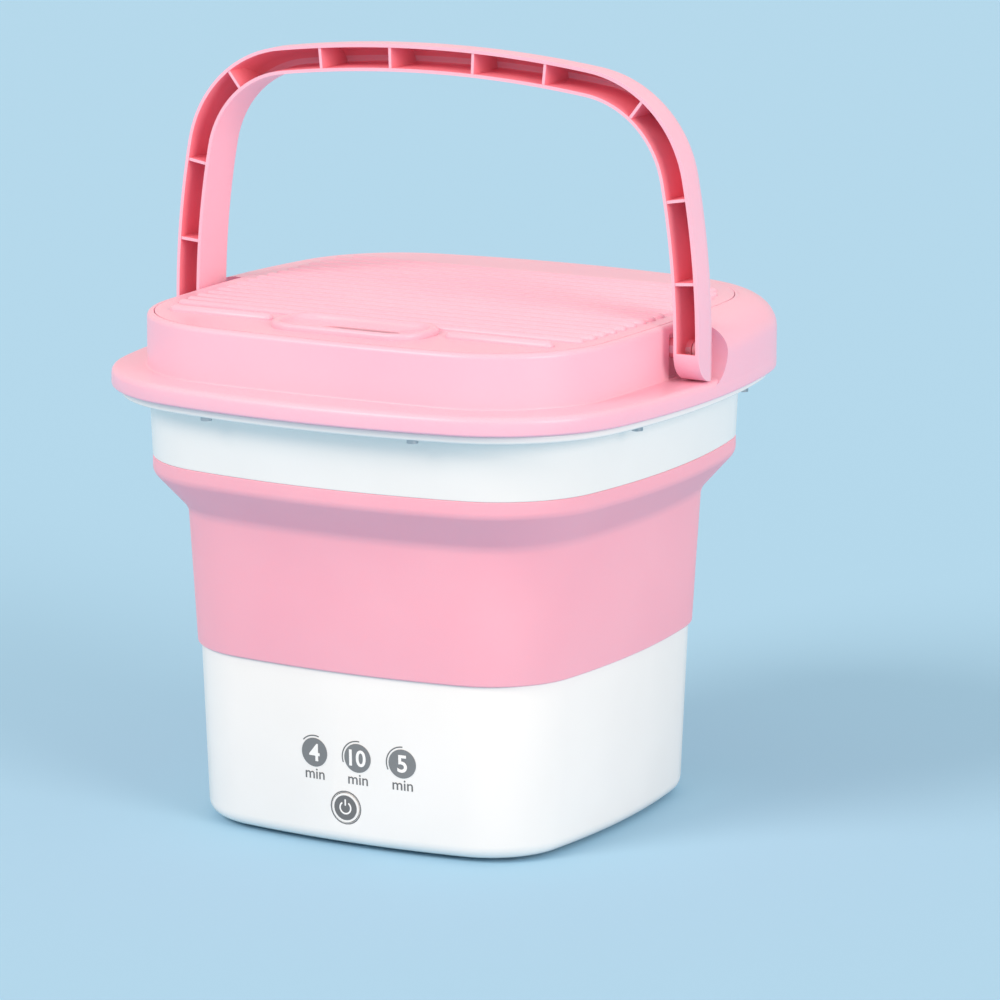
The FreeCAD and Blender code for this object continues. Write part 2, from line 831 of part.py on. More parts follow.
vane = pad(pulsator, fin, S.vane_width, middle=True)
polar(pulsator, [vane], 4)
turned_part(
    "pulsator_screw",
    [
        (0, SHAFT_TOP - 7),
        (1.95, SHAFT_TOP - 7),
        (1.95, HUB_TOP),
        (5.0, HUB_TOP),
        (5.0, HUB_TOP + 1.2),
        (3.6, HUB_TOP + 2.6),
        (0, HUB_TOP + 2.6),
    ],
)

# Motor: a steel can hung from the basin by its bracket, with the pinion on its shaft.
motor_low = MOTOR_TOP - S.motor_height
MOTOR_BORE_LOW = MOTOR_TOP - 6.0
SHAFT_CLEAR = S.motor_shaft_radius + S.running_gap
motor = turned_part(
    "drive_motor",
    [
        (0, motor_low),
        (5.0, motor_low),
        (5.0, motor_low + 2),
        (S.motor_radius, motor_low + 2),
        (S.motor_radius, MOTOR_TOP),
        (8.5, MOTOR_TOP),
        (8.5, BRACKET_TOP),
        (SHAFT_CLEAR, BRACKET_TOP),
        (SHAFT_CLEAR, MOTOR_BORE_LOW),
        (0, MOTOR_BORE_LOW),
    ],
    GEAR_CENTRES,
)
MOTOR_SCREW_SPOTS = [(0.0, side * 14.0) for side in (-1, 1)]
taps = sketch(motor, offset=MOTOR_TOP)
for x, y in MOTOR_SCREW_SPOTS:
    draw_circle(taps, x, y, SCREW_HOLE)
pocket(motor, taps, 5.0)
turned_part(
    "motor_shaft",
    [
        (0, MOTOR_BORE_LOW + 0.3),
        (S.motor_shaft_radius, MOTOR_BORE_LOW + 0.3),
        (S.motor_shaft_radius, S.gear_top + 1.5),
        (0, S.gear_top + 1.5),
    ],
    GEAR_CENTRES,
)

bracket = new_body("motor_bracket")
plate = sketch(bracket, offset=MOTOR_TOP)
draw_box(
    plate,
    GEAR_CENTRES - S.bracket_reach + 6,
    -(S.bracket_reach + 6),
    GEAR_CENTRES + S.bracket_reach - 6,
    S.bracket_reach + 6,
)
pad(bracket, plate, S.bracket_thickness)
round_edges(
    bracket,
    5.0,
    lambda e: isinstance(e.Curve, Part.Line) and e.BoundBox.ZLength > 1.0,
)
plate_holes = sketch(bracket, offset=BRACKET_TOP)
draw_circle(plate_holes, GEAR_CENTRES, 0, 8.6)
for x, y in bracket_posts:
    draw_circle(plate_holes, x, y, SCREW_HOLE + 0.2)
for x, y in MOTOR_SCREW_SPOTS:
    draw_circle(plate_holes, GEAR_CENTRES + x, y, SCREW_HOLE + 0.2)
pocket(bracket, plate_holes, S.bracket_thickness)


def screw_group(name, spots, seat, shank_end, head, shank, up=True):
    """Pan-head screws that share one seat level, as a group of separate solids."""
    body = new_body(name)
    way = 1 if up else -1
    shanks = sketch(body, offset=seat)
    heads = sketch(body, offset=seat)
    for x, y in spots:
        draw_circle(shanks, x, y, shank)
        draw_circle(heads, x, y, head)
    pad(body, shanks, way * (shank_end - seat), back=not up)
    pad(body, heads, head * 0.65, back=up)
    return body


screw_group(
    "bracket_screws",
    bracket_posts,
    MOTOR_TOP,
    BRACKET_TOP + 10.0,
    SCREW_HEAD,
    SCREW_SHANK,
)
screw_group(
    "motor_screws",
    [(GEAR_CENTRES + x, y) for x, y in MOTOR_SCREW_SPOTS],
    BRACKET_TOP,
    MOTOR_TOP - 4.0,
    SCREW_HEAD,
    SCREW_SHANK,
    up=False,
)

# ---- Controls -----------------------------------------------------------------------------------

board = new_body("control_board")
card = front_plane(board, S.board_back)
draw_box(
    card,
    BOARD_MID_X - S.board_width / 2,
    S.board_bottom,
    BOARD_MID_X + S.board_width / 2,
    S.board_bottom + S.board_height,
)
pad(board, card, S.board_thickness)
card_holes = front_plane(board, S.board_back)
for x, z in BOARD_POSTS:
    draw_circle(card_holes, x, z, SCREW_HOLE)
pocket(board, card_holes, S.board_thickness, back=True)

board_screws = new_body("board_screws")
for radius, start, length, rearward in (
    (1.25, S.board_back, S.board_thickness + 5.0, False),
    (2.6, S.board_back, 1.6, True),
):
    dots = front_plane(board_screws, start)
    for x, z in BOARD_POSTS:
        draw_circle(dots, x, z, radius)
    pad(board_screws, dots, length, back=rearward)

leds = new_body("mode_leds")
for radius, length in ((3.0, 1.0), (2.5, 5.0)):
    dots = front_plane(leds, BOARD_FRONT)
    for x, z in LENS_SPOTS:
        draw_circle(dots, x, z, radius)
    pad(leds, dots, length)

switch = new_body("start_switch")
SWITCH_FRONT = BOARD_FRONT + 3.5
switch_case = front_plane(switch, BOARD_FRONT)
draw_box(
    switch_case,
    S.button_x - 3,
    S.button_height - 3,
    S.button_x + 3,
    S.button_height + 3,
)
pad(switch, switch_case, 3.5)


def follow_face(name, proud, body):
    """Trims a piece in the front wall so that its face follows the shell, a little proud of it."""
    skin = doc.addObject("Part::Loft", f"{name}_skin")
    skin.Sections = [
        base_outline(None, S.foot_height, S.base_half + proud),
        base_outline(None, BASE_TOP, S.seam_half + proud),
    ]
    skin.Solid = True
    skin.Ruled = True
    trimmed = doc.addObject("Part::Common", name)
    trimmed.Base = body
    trimmed.Tool = skin
    return keep_part(trimmed, name)


# Mode lenses: three smoked discs in the front wall, in front of the lamps.
lens_blank = new_body("lens_blank", keep=False)
lens_discs = front_plane(lens_blank, S.base_half - S.shell_wall - 1.5)
for x, z in LENS_SPOTS:
    draw_circle(lens_discs, x, z, S.lens_radius)
pad(lens_blank, lens_discs, 12.0)
follow_face("mode_lenses", Size(0.15, "0.15"), lens_blank)

# Start button: a cap in the front wall with a collar behind it and a stem to the switch.
button_blank = new_body("button_blank", keep=False)
collar_back = S.base_half - S.shell_wall - 3.6
cap = front_plane(button_blank, collar_back)
draw_circle(cap, S.button_x, S.button_height, S.button_radius)
pad(button_blank, cap, 12.0)
collar = front_plane(button_blank, collar_back)
draw_circle(collar, S.button_x, S.button_height, S.button_radius + 1.6)
pad(button_blank, collar, 1.5)
stem = front_plane(button_blank, SWITCH_FRONT + S.button_travel + 0.3)
draw_circle(stem, S.button_x, S.button_height, 1.6)
pad(button_blank, stem, collar_back - SWITCH_FRONT - S.button_travel)
follow_face("start_button", S.button_proud, button_blank)

# Power inlet: a round low-voltage jack on a flat in the back wall, with its nut inside.
jack = new_body("power_jack")
JACK_END = JACK_SEAT + 2.0
barrel = front_plane(jack, -JACK_END)
draw_circle(barrel, S.jack_x, S.jack_height, S.jack_radius)
pad(jack, barrel, 14.0)
bezel = front_plane(jack, -JACK_END)
draw_circle(bezel, S.jack_x, S.jack_height, S.jack_radius + 2)
pad(jack, bezel, 2.0)
inlet = front_plane(jack, -JACK_END)
draw_circle(inlet, S.jack_x, S.jack_height, JACK_BORE)
pocket(jack, inlet, JACK_BORE_DEPTH, back=True)

nut = new_body("jack_nut")
NUT_FACE = JACK_SEAT - S.shell_wall - 1.2
nut_ring = front_plane(nut, -NUT_FACE)
draw_circle(nut_ring, S.jack_x, S.jack_height, S.jack_radius + 2.4)
draw_circle(nut_ring, S.jack_x, S.jack_height, S.jack_radius)
pad(nut, nut_ring, 2.2)

# ---- Soft folding wall --------------------------------------------------------------------------

soft = new_body("folding_wall")
soft_low_half = S.seam_half + S.soft_overhang
soft_top_half = soft_low_half + S.soft_lean
bead_half = S.ring_half - S.ring_wall - 0.2


def soft_outline(body, level, half, share):
    """The soft wall's outline, which goes from the base's family (0) to the ring's (1)."""
    flat = sketch(body, offset=level)
    bow = (S.base_bow - S.base_half) * (1 - share) + (S.ring_bow - S.ring_half) * share + half
    inset = (S.base_half - S.base_corner) * (1 - share) + (S.ring_half - S.ring_corner) * share
    draw_outline(flat, half, bow, half - inset)
    return flat


BEAD_TOP = RING_BOTTOM + S.bead_height
loft(
    soft,
    [
        soft_outline(soft, BASE_TOP, soft_low_half, 0.0),
        soft_outline(soft, WALL_TOP, soft_top_half, 0.3),
        soft_outline(soft, BAND_BOTTOM, S.ring_half, 1.0),
        soft_outline(soft, RING_BOTTOM, S.ring_half, 1.0),
    ],
)
pad(soft, ring_outline(soft, RING_BOTTOM, bead_half), S.bead_height)
loft(
    soft,
    [
        soft_outline(soft, BASE_TOP, SPIGOT_HALF, 0.0),
        soft_outline(soft, RIM_TOP, SPIGOT_HALF, 0.0),
        soft_outline(soft, WALL_TOP + 1.2, soft_top_half - S.soft_wall, 0.3),
        soft_outline(soft, BAND_BOTTOM + 1.2, bead_half - S.soft_wall, 1.0),
        soft_outline(soft, BEAD_TOP, bead_half - S.soft_wall, 1.0),
    ],
    add=False,
)

# ---- White upper ring ---------------------------------------------------------------------------

ring = new_body("upper_ring")
ring_top_half = S.ring_half + S.ring_flare
loft(ring, [ring_outline(ring, RING_BOTTOM, S.ring_half), ring_outline(ring, LIP_BOTTOM, ring_top_half)])
LIP_HALF = S.ring_half + S.lip_overhang
pad(ring, ring_outline(ring, LIP_BOTTOM, LIP_HALF), S.lip_thickness)
loft(
    ring,
    [
        ring_outline(ring, RING_BOTTOM, S.ring_half - S.ring_wall),
        ring_outline(ring, LIP_TOP, ring_top_half - S.ring_wall),
    ],
    add=False,
)

# ---- Pink top frame -----------------------------------------------------------------------------

FLANGE_HALF = S.ring_half + S.flange_overhang
OPENING_HALF = S.block_half - S.rim_width
LEDGE_HALF = OPENING_HALF - S.lid_ledge
LEDGE_Z = RIM - S.lid_depth
ABOVE_PIVOT = RIM - PIVOT_Z
POCKET_RADIUS = (S.arm_back * S.arm_back + ABOVE_PIVOT * ABOVE_PIVOT).root() + S.swing_gap
LEDGE_THICKNESS = 3.0
SKIRT_OUTER = ring_top_half - S.ring_wall - 0.4
SKIRT_INNER = SKIRT_OUTER - 2.5
SEAL_BAND = (S.ring_half + 1.0, S.ring_half + 4.0)
SEAL_DEPTH = 1.4
SKIRT_CORE_SPAN = 400.0


def frame_ring(body, low, high, outer, inner):
    """A flat ring in the ring family between two levels."""
    flat = ring_outline(body, low, outer)
    grown = inner - S.ring_half
    draw_outline(flat, inner, S.ring_bow + grown, S.ring_corner + grown)
    return pad(body, flat, high - low)


# The rear skirt bulges from the flange's edge up to the rim and stops behind the handle's arms.
frame_body = new_body("frame_moulding", keep=False)
skirt_steps = [
    (0.0, 1.0),
    (0.42, 1.0),
    (0.62, 0.93),
    (0.80, 0.76),
    (0.92, 0.52),
    (0.995, 0.12),
]
skirt_span = FLANGE_HALF - S.block_half
loft(
    frame_body,
    [
        ring_outline(
            frame_body,
            FLANGE_TOP + S.block_height * rise,
            S.block_half + skirt_span * reach,
        )
        for rise, reach in skirt_steps
    ],
)
side_cut = sketch(frame_body, "YZ_Plane")
front_edge = -(FLANGE_HALF + 10)
pocket_low = FLANGE_TOP - PIVOT_Z
low_y = math.sqrt(number(POCKET_RADIUS) ** 2 - number(pocket_low) ** 2)
high_z = RIM + 10 - PIVOT_Z
arc_end = math.asin(min(1.0, number(RIM - PIVOT_Z) / number(POCKET_RADIUS)))


def pocket_outline(flat):
    """Everything in front of an arc round the pivot: where the handle swings."""
    cy, cz = number(S.pivot_y), number(PIVOT_Z)
    r = number(POCKET_RADIUS)
    start = -math.asin(-number(pocket_low) / r)
    arc = Part.ArcOfCircle(Part.Circle(Vector(cy, cz, 0), Vector(0, 0, 1), r), start, arc_end)
    bend = flat.addGeometry(arc, False)
    foot = Vector(cy + r * math.cos(start), cz + r * math.sin(start), 0)
    head = Vector(cy + r * math.cos(arc_end), cz + r * math.sin(arc_end), 0)
    top = number(RIM + 10)
    corners = [
        head,
        Vector(head.x, top, 0),
        Vector(number(front_edge), top, 0),
        Vector(number(front_edge), foot.y, 0),
        foot,
    ]
    for a, b in zip(corners, corners[1:]):
        flat.addGeometry(Part.LineSegment(a, b), False)
    for k in range(bend, bend + 4):
        flat.addConstraint(Sketcher.Constraint("Coincident", k, 2, k + 1, 1))
    flat.addConstraint(Sketcher.Constraint("Coincident", bend + 4, 2, bend, 1))
    datum(flat, "DistanceX", -1, 1, bend, 3, S.pivot_y)
    datum(flat, "DistanceY", -1, 1, bend, 3, PIVOT_Z)
    datum(flat, "Radius", bend, POCKET_RADIUS)
    datum(flat, "DistanceY", -1, 1, bend + 4, 2, FLANGE_TOP)
    flat.addConstraint(Sketcher.Constraint("Horizontal", bend + 4))
    flat.addConstraint(Sketcher.Constraint("Vertical", bend + 3))
    flat.addConstraint(Sketcher.Constraint("Horizontal", bend + 2))
    flat.addConstraint(Sketcher.Constraint("Vertical", bend + 1))
    datum(flat, "DistanceX", -1, 1, bend + 3, 1, front_edge)
    datum(flat, "DistanceY", -1, 1, bend + 2, 1, RIM + 10)
    datum(flat, "DistanceY", -1, 1, bend, 2, RIM)


pocket_outline(side_cut)
pocket(frame_body, side_cut, SKIRT_CORE_SPAN, middle=True)
frame_ring(frame_body, FLANGE_BOTTOM, FLANGE_TOP, FLANGE_HALF, SKIRT_INNER)
pad(frame_body, block_outline(frame_body, FLANGE_TOP, S.block_half), S.block_height)
frame_ring(
    frame_body,
    FLANGE_BOTTOM - S.frame_skirt,
    FLANGE_BOTTOM + 1.0,
    SKIRT_OUTER,
    SKIRT_INNER,
)
pocket(frame_body, block_outline(frame_body, RIM, OPENING_HALF), S.lid_depth)
pocket(frame_body, block_outline(frame_body, LEDGE_Z, LEDGE_HALF), LEDGE_Z - FLANGE_BOTTOM + S.frame_skirt)
HOLLOW_TOP = LEDGE_Z - LEDGE_THICKNESS
hollow = block_outline(frame_body, HOLLOW_TOP, S.block_half - 3.0)
pocket(frame_body, hollow, HOLLOW_TOP - FLANGE_TOP)
pin_blocks = sketch(frame_body, offset=HOLLOW_TOP)
for side in (-1, 1):
    near, far = LEDGE_HALF - 0.6, S.block_half - 1.5
    left, right = (near, far) if side > 0 else (-far, -near)
    draw_box(pin_blocks, left, S.pivot_y - 12, right, S.pivot_y + 12)
pad(frame_body, pin_blocks, HOLLOW_TOP - FLANGE_TOP, back=True)
seal_band = ring_outline(frame_body, FLANGE_BOTTOM, SEAL_BAND[1])
inner_grown = SEAL_BAND[0] - S.ring_half
draw_outline(seal_band, SEAL_BAND[0], S.ring_bow + inner_grown, S.ring_corner + inner_grown)
pocket(frame_body, seal_band, SEAL_DEPTH, back=True)

# Slots in the block's sides, where the handle's hubs turn.
HUB_SLOT_DEPTH = 3.0
HUB_SLOT_FRONT = S.pivot_y - S.hub_radius - 0.9
for side in (-1, 1):
    slot_sketch = sketch(frame_body, "YZ_Plane", side * (S.block_half - HUB_SLOT_DEPTH))
    draw_box(slot_sketch, HUB_SLOT_FRONT, FLANGE_TOP, S.pivot_y + S.arm_back - 2, PIVOT_Z + 8)
    pocket(frame_body, slot_sketch, 12.0, back=side > 0)
pin_bores = sketch(frame_body, "YZ_Plane")
draw_circle(pin_bores, S.pivot_y, PIVOT_Z, S.pin_radius)
pocket(frame_body, pin_bores, SKIRT_CORE_SPAN, middle=True)

# The hollow that leaves the rear skirt and the flange as thin mouldings, open from below.
core_body = new_body("skirt_core", keep=False)
CORE_WALL = 2.6
CORE_LOW = FLANGE_BOTTOM
core_outer = FLANGE_HALF - CORE_WALL - 1.6
core_inner = S.block_half + CORE_WALL + 1.0
core_steps = [(0.0, 1.0), (0.42, 0.97), (0.6, 0.84), (0.75, 0.6), (0.84, 0.35)]
core_span = core_outer - core_inner
loft(
    core_body,
    [
        ring_outline(
            core_body,
            (FLANGE_TOP if rise else CORE_LOW) + S.block_height * rise,
            core_inner + core_span * reach,
        )
        for rise, reach in core_steps
    ],
)
core_middle = ring_outline(core_body, CORE_LOW, core_inner)
pocket(core_body, core_middle, 60.0, back=True)
core_front = sketch(core_body, offset=CORE_LOW)
core_limit = S.pivot_y + POCKET_RADIUS + CORE_WALL
draw_box(core_front, -200.0, -200.0, 200.0, core_limit)
pocket(core_body, core_front, 60.0, back=True)

hollow_frame = doc.addObject("Part::Cut", "hollow_frame")
hollow_frame.Base = frame_body
hollow_frame.Tool = core_body
groove_body = new_body("flange_groove", keep=False)
frame_ring(
    groove_body,
    FLANGE_BOTTOM,
    FLANGE_BOTTOM + S.flange_thickness - 2.8,
    FLANGE_HALF - 3.0,
    S.ring_half + 5.5,
)
# Screws from below the ring's lip, in bosses that stand in the flange's groove.
SCREW_LINE = S.ring_half + 11.5
SCREW_ALONG = 57.0
SCREW_OUT = SCREW_LINE - SCREW_ALONG * SCREW_ALONG / (S.ring_bow * 2)
LIP_SPOTS = [(sx * SCREW_ALONG, sy * SCREW_OUT) for sx in (-1, 1) for sy in (-1, 1)]
LIP_SPOTS += [(sx * SCREW_OUT, sy * SCREW_ALONG) for sx in (-1, 1) for sy in (-1, 1)]
boss_room = sketch(groove_body, offset=FLANGE_TOP)
for x, y in LIP_SPOTS:
    draw_circle(boss_room, x, y, 3.4)
pocket(groove_body, boss_room, S.flange_thickness)
screw_rods = new_body("screw_rods", keep=False)
rods = sketch(screw_rods, offset=FLANGE_BOTTOM)
for x, y in LIP_SPOTS:
    draw_circle(rods, x, y, SCREW_HOLE)
pad(screw_rods, rods, 6.0)
frame_holes = doc.addObject("Part::Compound", "frame_holes")
frame_holes.Links = [groove_body, screw_rods]
top_frame = doc.addObject("Part::Cut", "top_frame")
top_frame.Base = hollow_frame
top_frame.Tool = frame_holes
keep_part(top_frame, "top_frame")

lip_holes = sketch(ring, offset=LIP_TOP)
for x, y in LIP_SPOTS:
    draw_circle(lip_holes, x, y, SCREW_HOLE + 0.2)
pocket(ring, lip_holes, S.lip_thickness)
screw_group("lip_screws", LIP_SPOTS, LIP_BOTTOM, FLANGE_BOTTOM + 5.0, SCREW_HEAD, SCREW_SHANK)

# Gasket in the flange's inner groove, against the ring's lip.
gasket = new_body("frame_gasket")
frame_ring(gasket, LIP_TOP, FLANGE_BOTTOM + SEAL_DEPTH, SEAL_BAND[1], SEAL_BAND[0])

# ---- Carrying handle ----------------------------------------------------------------------------

ARM_HALF = FLANGE_HALF - 0.5
ARM_INNER = ARM_HALF - S.arm_width
ARCH_INNER = S.block_half + S.pivot_y + S.block_half / 80.0
ARCH_RISE = ARCH_INNER + S.arm_width


def handle_spine():
    """The handle's outer line: bowed arms from pivot level, round corners and a bowed top."""
    half, rise = number(ARM_HALF), number(ARCH_RISE)
    bow, corner = number(S.handle_bow), number(S.handle_corner)
    crown = number(S.handle_crown)
    cx, cz = corner_centre(half, rise, bow, corner, crown)
    side_sweep = math.atan2(cz, cx - (half - bow))
    top_sweep = math.atan2(cx, cz - (rise - crown))
    spine = doc.addObject("Sketcher::SketchObject", "handle_spine")
    place(spine, 0.0, S.pivot_y, PIVOT_Z, Rotation(Vector(1, 0, 0), 90))
    up = Vector(0, 0, 1)
    quarter = math.pi / 2
    arcs = [
        (Vector(half - bow, 0, 0), bow, 0.0, side_sweep),
        (Vector(cx, cz, 0), corner, side_sweep, quarter - top_sweep),
        (Vector(0, rise - crown, 0), crown, quarter - top_sweep, quarter + top_sweep),
        (Vector(-cx, cz, 0), corner, quarter + top_sweep, math.pi - side_sweep),
        (Vector(bow - half, 0, 0), bow, math.pi - side_sweep, math.pi),
    ]
    for centre, radius, start, end in arcs:
        spine.addGeometry(Part.ArcOfCircle(Part.Circle(centre, up, radius), start, end), False)
    for k in range(4):
        spine.addConstraint(Sketcher.Constraint("Tangent", k, 2, k + 1, 1))
    for k, side in ((0, 1), (4, -1)):
        datum(spine, "DistanceX", -1, 1, k, 3, side * (ARM_HALF - S.handle_bow))
        datum(spine, "DistanceY", -1, 1, k, 3, 0.0)
        datum(spine, "Radius", k, S.handle_bow)
    datum(spine, "DistanceX", -1, 1, 2, 3, 0.0)
    datum(spine, "DistanceY", -1, 1, 2, 3, ARCH_RISE - S.handle_crown)
    datum(spine, "Radius", 2, S.handle_crown)
    datum(spine, "Radius", 1, S.handle_corner)
    datum(spine, "Radius", 3, S.handle_corner)
    spine.addConstraint(Sketcher.Constraint("PointOnObject", 0, 1, -1))
    spine.addConstraint(Sketcher.Constraint("PointOnObject", 4, 2, -1))
    return spine


def arm_section(name, wall, front):
    """The handle's section at pivot level: a D with a bulging back, inset by a wall all round."""
    flat = doc.addObject("Sketcher::SketchObject", name)
    place(flat, 0.0, S.pivot_y, PIVOT_Z)
    outer = ARM_HALF - wall
    inner = ARM_INNER + wall
    shoulder = S.arm_outer_depth - S.arm_front
    back = S.arm_back - wall
    heel = inner + 2.0
    bend_mid = Vector(
        number(outer) - 3.6, (number(shoulder) + number(back)) / 2 + 1.0, 0
    )
    a = Vector(number(outer), number(shoulder), 0)
    b = Vector(number(heel), number(back), 0)
    c = Vector(number(inner), number(back), 0)
    d = Vector(number(inner), -number(front), 0)
    e = Vector(number(outer), -number(front), 0)
    arc = Part.Arc(a, bend_mid, b)
    flat.addGeometry(arc, False)
    for start, end in ((b, c), (c, d), (d, e), (e, a)):
        flat.addGeometry(Part.LineSegment(start, end), False)
    for k in range(4):
        flat.addConstraint(Sketcher.Constraint("Coincident", k, 2, k + 1, 1))
    flat.addConstraint(Sketcher.Constraint("Coincident", 4, 2, 0, 1))
    for k, x, y in ((0, outer, shoulder), (1, heel, back), (2, inner, back)):
        datum(flat, "DistanceX", -1, 1, k, 1, x)
        datum(flat, "DistanceY", -1, 1, k, 1, y)
    for k, x, y in ((3, inner, -front), (4, outer, -front)):
        datum(flat, "DistanceX", -1, 1, k, 1, x)
        datum(flat, "DistanceY", -1, 1, k, 1, y)
    datum(flat, "Radius", 0, arc.toShape().Curve.Radius)
    return flat


def swept(name, section, spine):
    """A section carried along the handle's outer line."""
    feature = doc.addObject("Part::Sweep", name)
    feature.Sections = [section]
    feature.Spine = (spine, [f"Edge{k}" for k in range(1, 6)])
    feature.Solid = True
    feature.Frenet = False
    return feature


spine = handle_spine()
full_section = arm_section("full_section", Size(0.0, "0"), S.arm_front)
hollow_section = arm_section("hollow_section", S.handle_wall, S.arm_front + 1)
doc.recompute()
bow_solid = swept("bow_solid", full_section, spine)
bow_hollow = swept("bow_hollow", hollow_section, spine)
doc.recompute()


def arm_end(name, section, radius, side):
    """The round lower end of an arm: its section run down, cut to a disc round the pivot."""
    run = doc.addObject("Part::Extrusion", f"{name}_run")
    run.Base = section
    run.Dir = Vector(0, 0, -1)
    run.DirMode = "Custom"
    bind(run, "LengthFwd", radius + 1)
    run.Solid = True
    disc = doc.addObject("Part::Cylinder", f"{name}_disc")
    bind(disc, "Radius", radius)
    bind(disc, "Height", ARM_HALF + 10)
    place(disc, 0.0, S.pivot_y, PIVOT_Z, Rotation(Vector(0, 1, 0), 90))
    end = doc.addObject("Part::Common", f"{name}_half")
    end.Base = run
    end.Tool = disc
    if side > 0:
        return end
    mirror = doc.addObject("Part::Mirroring", f"{name}_left")
    mirror.Source = end
    mirror.Normal = Vector(1, 0, 0)
    return mirror


def fused(name, members):
    """Joins solids into one."""
    feature = doc.addObject("Part::MultiFuse", name)
    feature.Shapes = members
    return feature


def rib_stations():
    """Where the ribs cross the handle: points on its outer line and the way it runs there."""
    half, rise = number(ARM_HALF), number(ARCH_RISE)
    bow, corner = number(S.handle_bow), number(S.handle_corner)
    crown = number(S.handle_crown)
    cx, cz = corner_centre(half, rise, bow, corner, crown)
    up_arm = [(-0.008, 0), (0.077, 0), (0.168, 0)]
    stations = []
    for lean, _ in up_arm:
        stations.append((half - bow + bow * math.cos(lean), bow * math.sin(lean), lean))
    diagonal = math.radians(52)
    stations.append((cx + corner * math.cos(diagonal), cz + corner * math.sin(diagonal), diagonal))
    for lean in (0.0976, 0.036):
        x, z = crown * math.sin(lean), rise - crown + crown * math.cos(lean)
        stations.append((x, z, math.pi / 2 - lean))
    return stations


RIB = 1.5
ribs = []
for x, z, lean in rib_stations():
    for side in (-1, 1):
        rib = doc.addObject("Part::Box", "rib")
        rib.Length = 24.0
        bind(rib, "Width", S.arm_front + S.arm_back + 6)
        rib.Height = RIB
        turn = Rotation(Vector(0, -1, 0), math.degrees(lean))
        middle = Placement(Vector(x, 0, z), turn).multVec(Vector(-20, 0, -RIB / 2))
        spot = Vector(side * middle.x, number(S.pivot_y - S.arm_front + 1.0), number(PIVOT_Z) + middle.z)
        if side < 0:
            turn = Rotation(Vector(0, 1, 0), math.degrees(lean))
            middle = Placement(Vector(-x, 0, z), turn).multVec(Vector(-4, 0, -RIB / 2))
            spot = Vector(middle.x, spot.y, number(PIVOT_Z) + middle.z)
        rib.Placement = Placement(spot, turn)
        ribs.append(rib)

end_radius = S.arm_front
solid_ends = [arm_end(f"end_{side}", full_section, end_radius, side) for side in (-1, 1)]
hollow_ends = [
    arm_end(f"hollow_{side}", hollow_section, end_radius - S.handle_wall, side) for side in (-1, 1)
]
doc.recompute()


def hub_rings(name, radius, inner, outer, side):
    """A round boss on the pivot line, between two distances from the middle."""
    thing = doc.addObject("Part::Cylinder", name)
    bind(thing, "Radius", radius)
    bind(thing, "Height", outer - inner)
    start = inner if side > 0 else -outer
    place(thing, start, S.pivot_y, PIVOT_Z, Rotation(Vector(0, 1, 0), 90))
    return thing


HUB_INNER = S.block_half - HUB_SLOT_DEPTH + S.swing_gap + 1.0
HUB_OUTER = ARM_INNER + S.handle_wall + 3.0
outside = fused("handle_outside", [bow_solid, *solid_ends])
inside = fused("handle_inside", [bow_hollow, *hollow_ends])
rib_set = doc.addObject("Part::Compound", "rib_set")
rib_set.Links = ribs
inside_cells = doc.addObject("Part::Cut", "inside_cells")
inside_cells.Base = inside
inside_cells.Tool = rib_set
channel = doc.addObject("Part::Cut", "channel")
channel.Base = outside
channel.Tool = inside_cells
hubs = [hub_rings("hub", S.hub_radius, HUB_INNER, HUB_OUTER, side) for side in (-1, 1)]
pin_clearance = S.pin_radius + S.running_gap
hub_bores = [
    hub_rings("hub_bore", pin_clearance, HUB_INNER - 1, HUB_OUTER + 1, side) for side in (-1, 1)
]
doc.recompute()
bow = fused("bow", [channel, *hubs])
head_rooms = [
    hub_rings("head_room", S.pin_radius + 2.2, HUB_OUTER, HUB_OUTER + 2.6, side) for side in (-1, 1)
]
bore_set = doc.addObject("Part::MultiFuse", "bore_set")
bore_set.Shapes = [*hub_bores, *head_rooms]
handle = doc.addObject("Part::Cut", "carry_handle")
handle.Base = bow
handle.Tool = bore_set
keep_part(handle, "carry_handle")

# Pivot pins: from a seat in the block, through the handle's hubs, with a head beyond them.
PIN_ROOT = S.block_half - HUB_SLOT_DEPTH - 5.0
PIN_HEAD = HUB_OUTER + 0.4
pins = []
for side in (-1, 1):
    pin_shank = hub_rings("pin_shank", S.pin_radius, PIN_ROOT, PIN_HEAD + 1.2, side)
    pin_head = hub_rings("pin_head", S.pin_radius + 1.6, PIN_HEAD, PIN_HEAD + 1.6, side)
    pins.append(fused("pivot_pin", [pin_shank, pin_head]))
pin_pair = doc.addObject("Part::Compound", "pivot_pins")
pin_pair.Links = pins
keep_part(pin_pair, "pivot_pins")

# Friction washers, which hold the handle where it is put.
washer_in = S.block_half - HUB_SLOT_DEPTH
washers = []
for side in (-1, 1):
    disc = hub_rings("washer_disc", S.hub_radius - 0.3, washer_in, HUB_INNER - 0.1, side)
    hole = hub_rings("washer_hole", S.pin_radius + 0.02, washer_in - 1, HUB_INNER + 1, side)
    washer = doc.addObject("Part::Cut", "washer")
    washer.Base = disc
    washer.Tool = hole
    washers.append(washer)
washer_pair = doc.addObject("Part::Compound", "friction_washers")
washer_pair.Links = washers
keep_part(washer_pair, "friction_washers")

# ---- Washboard lid ------------------------------------------------------------------------------

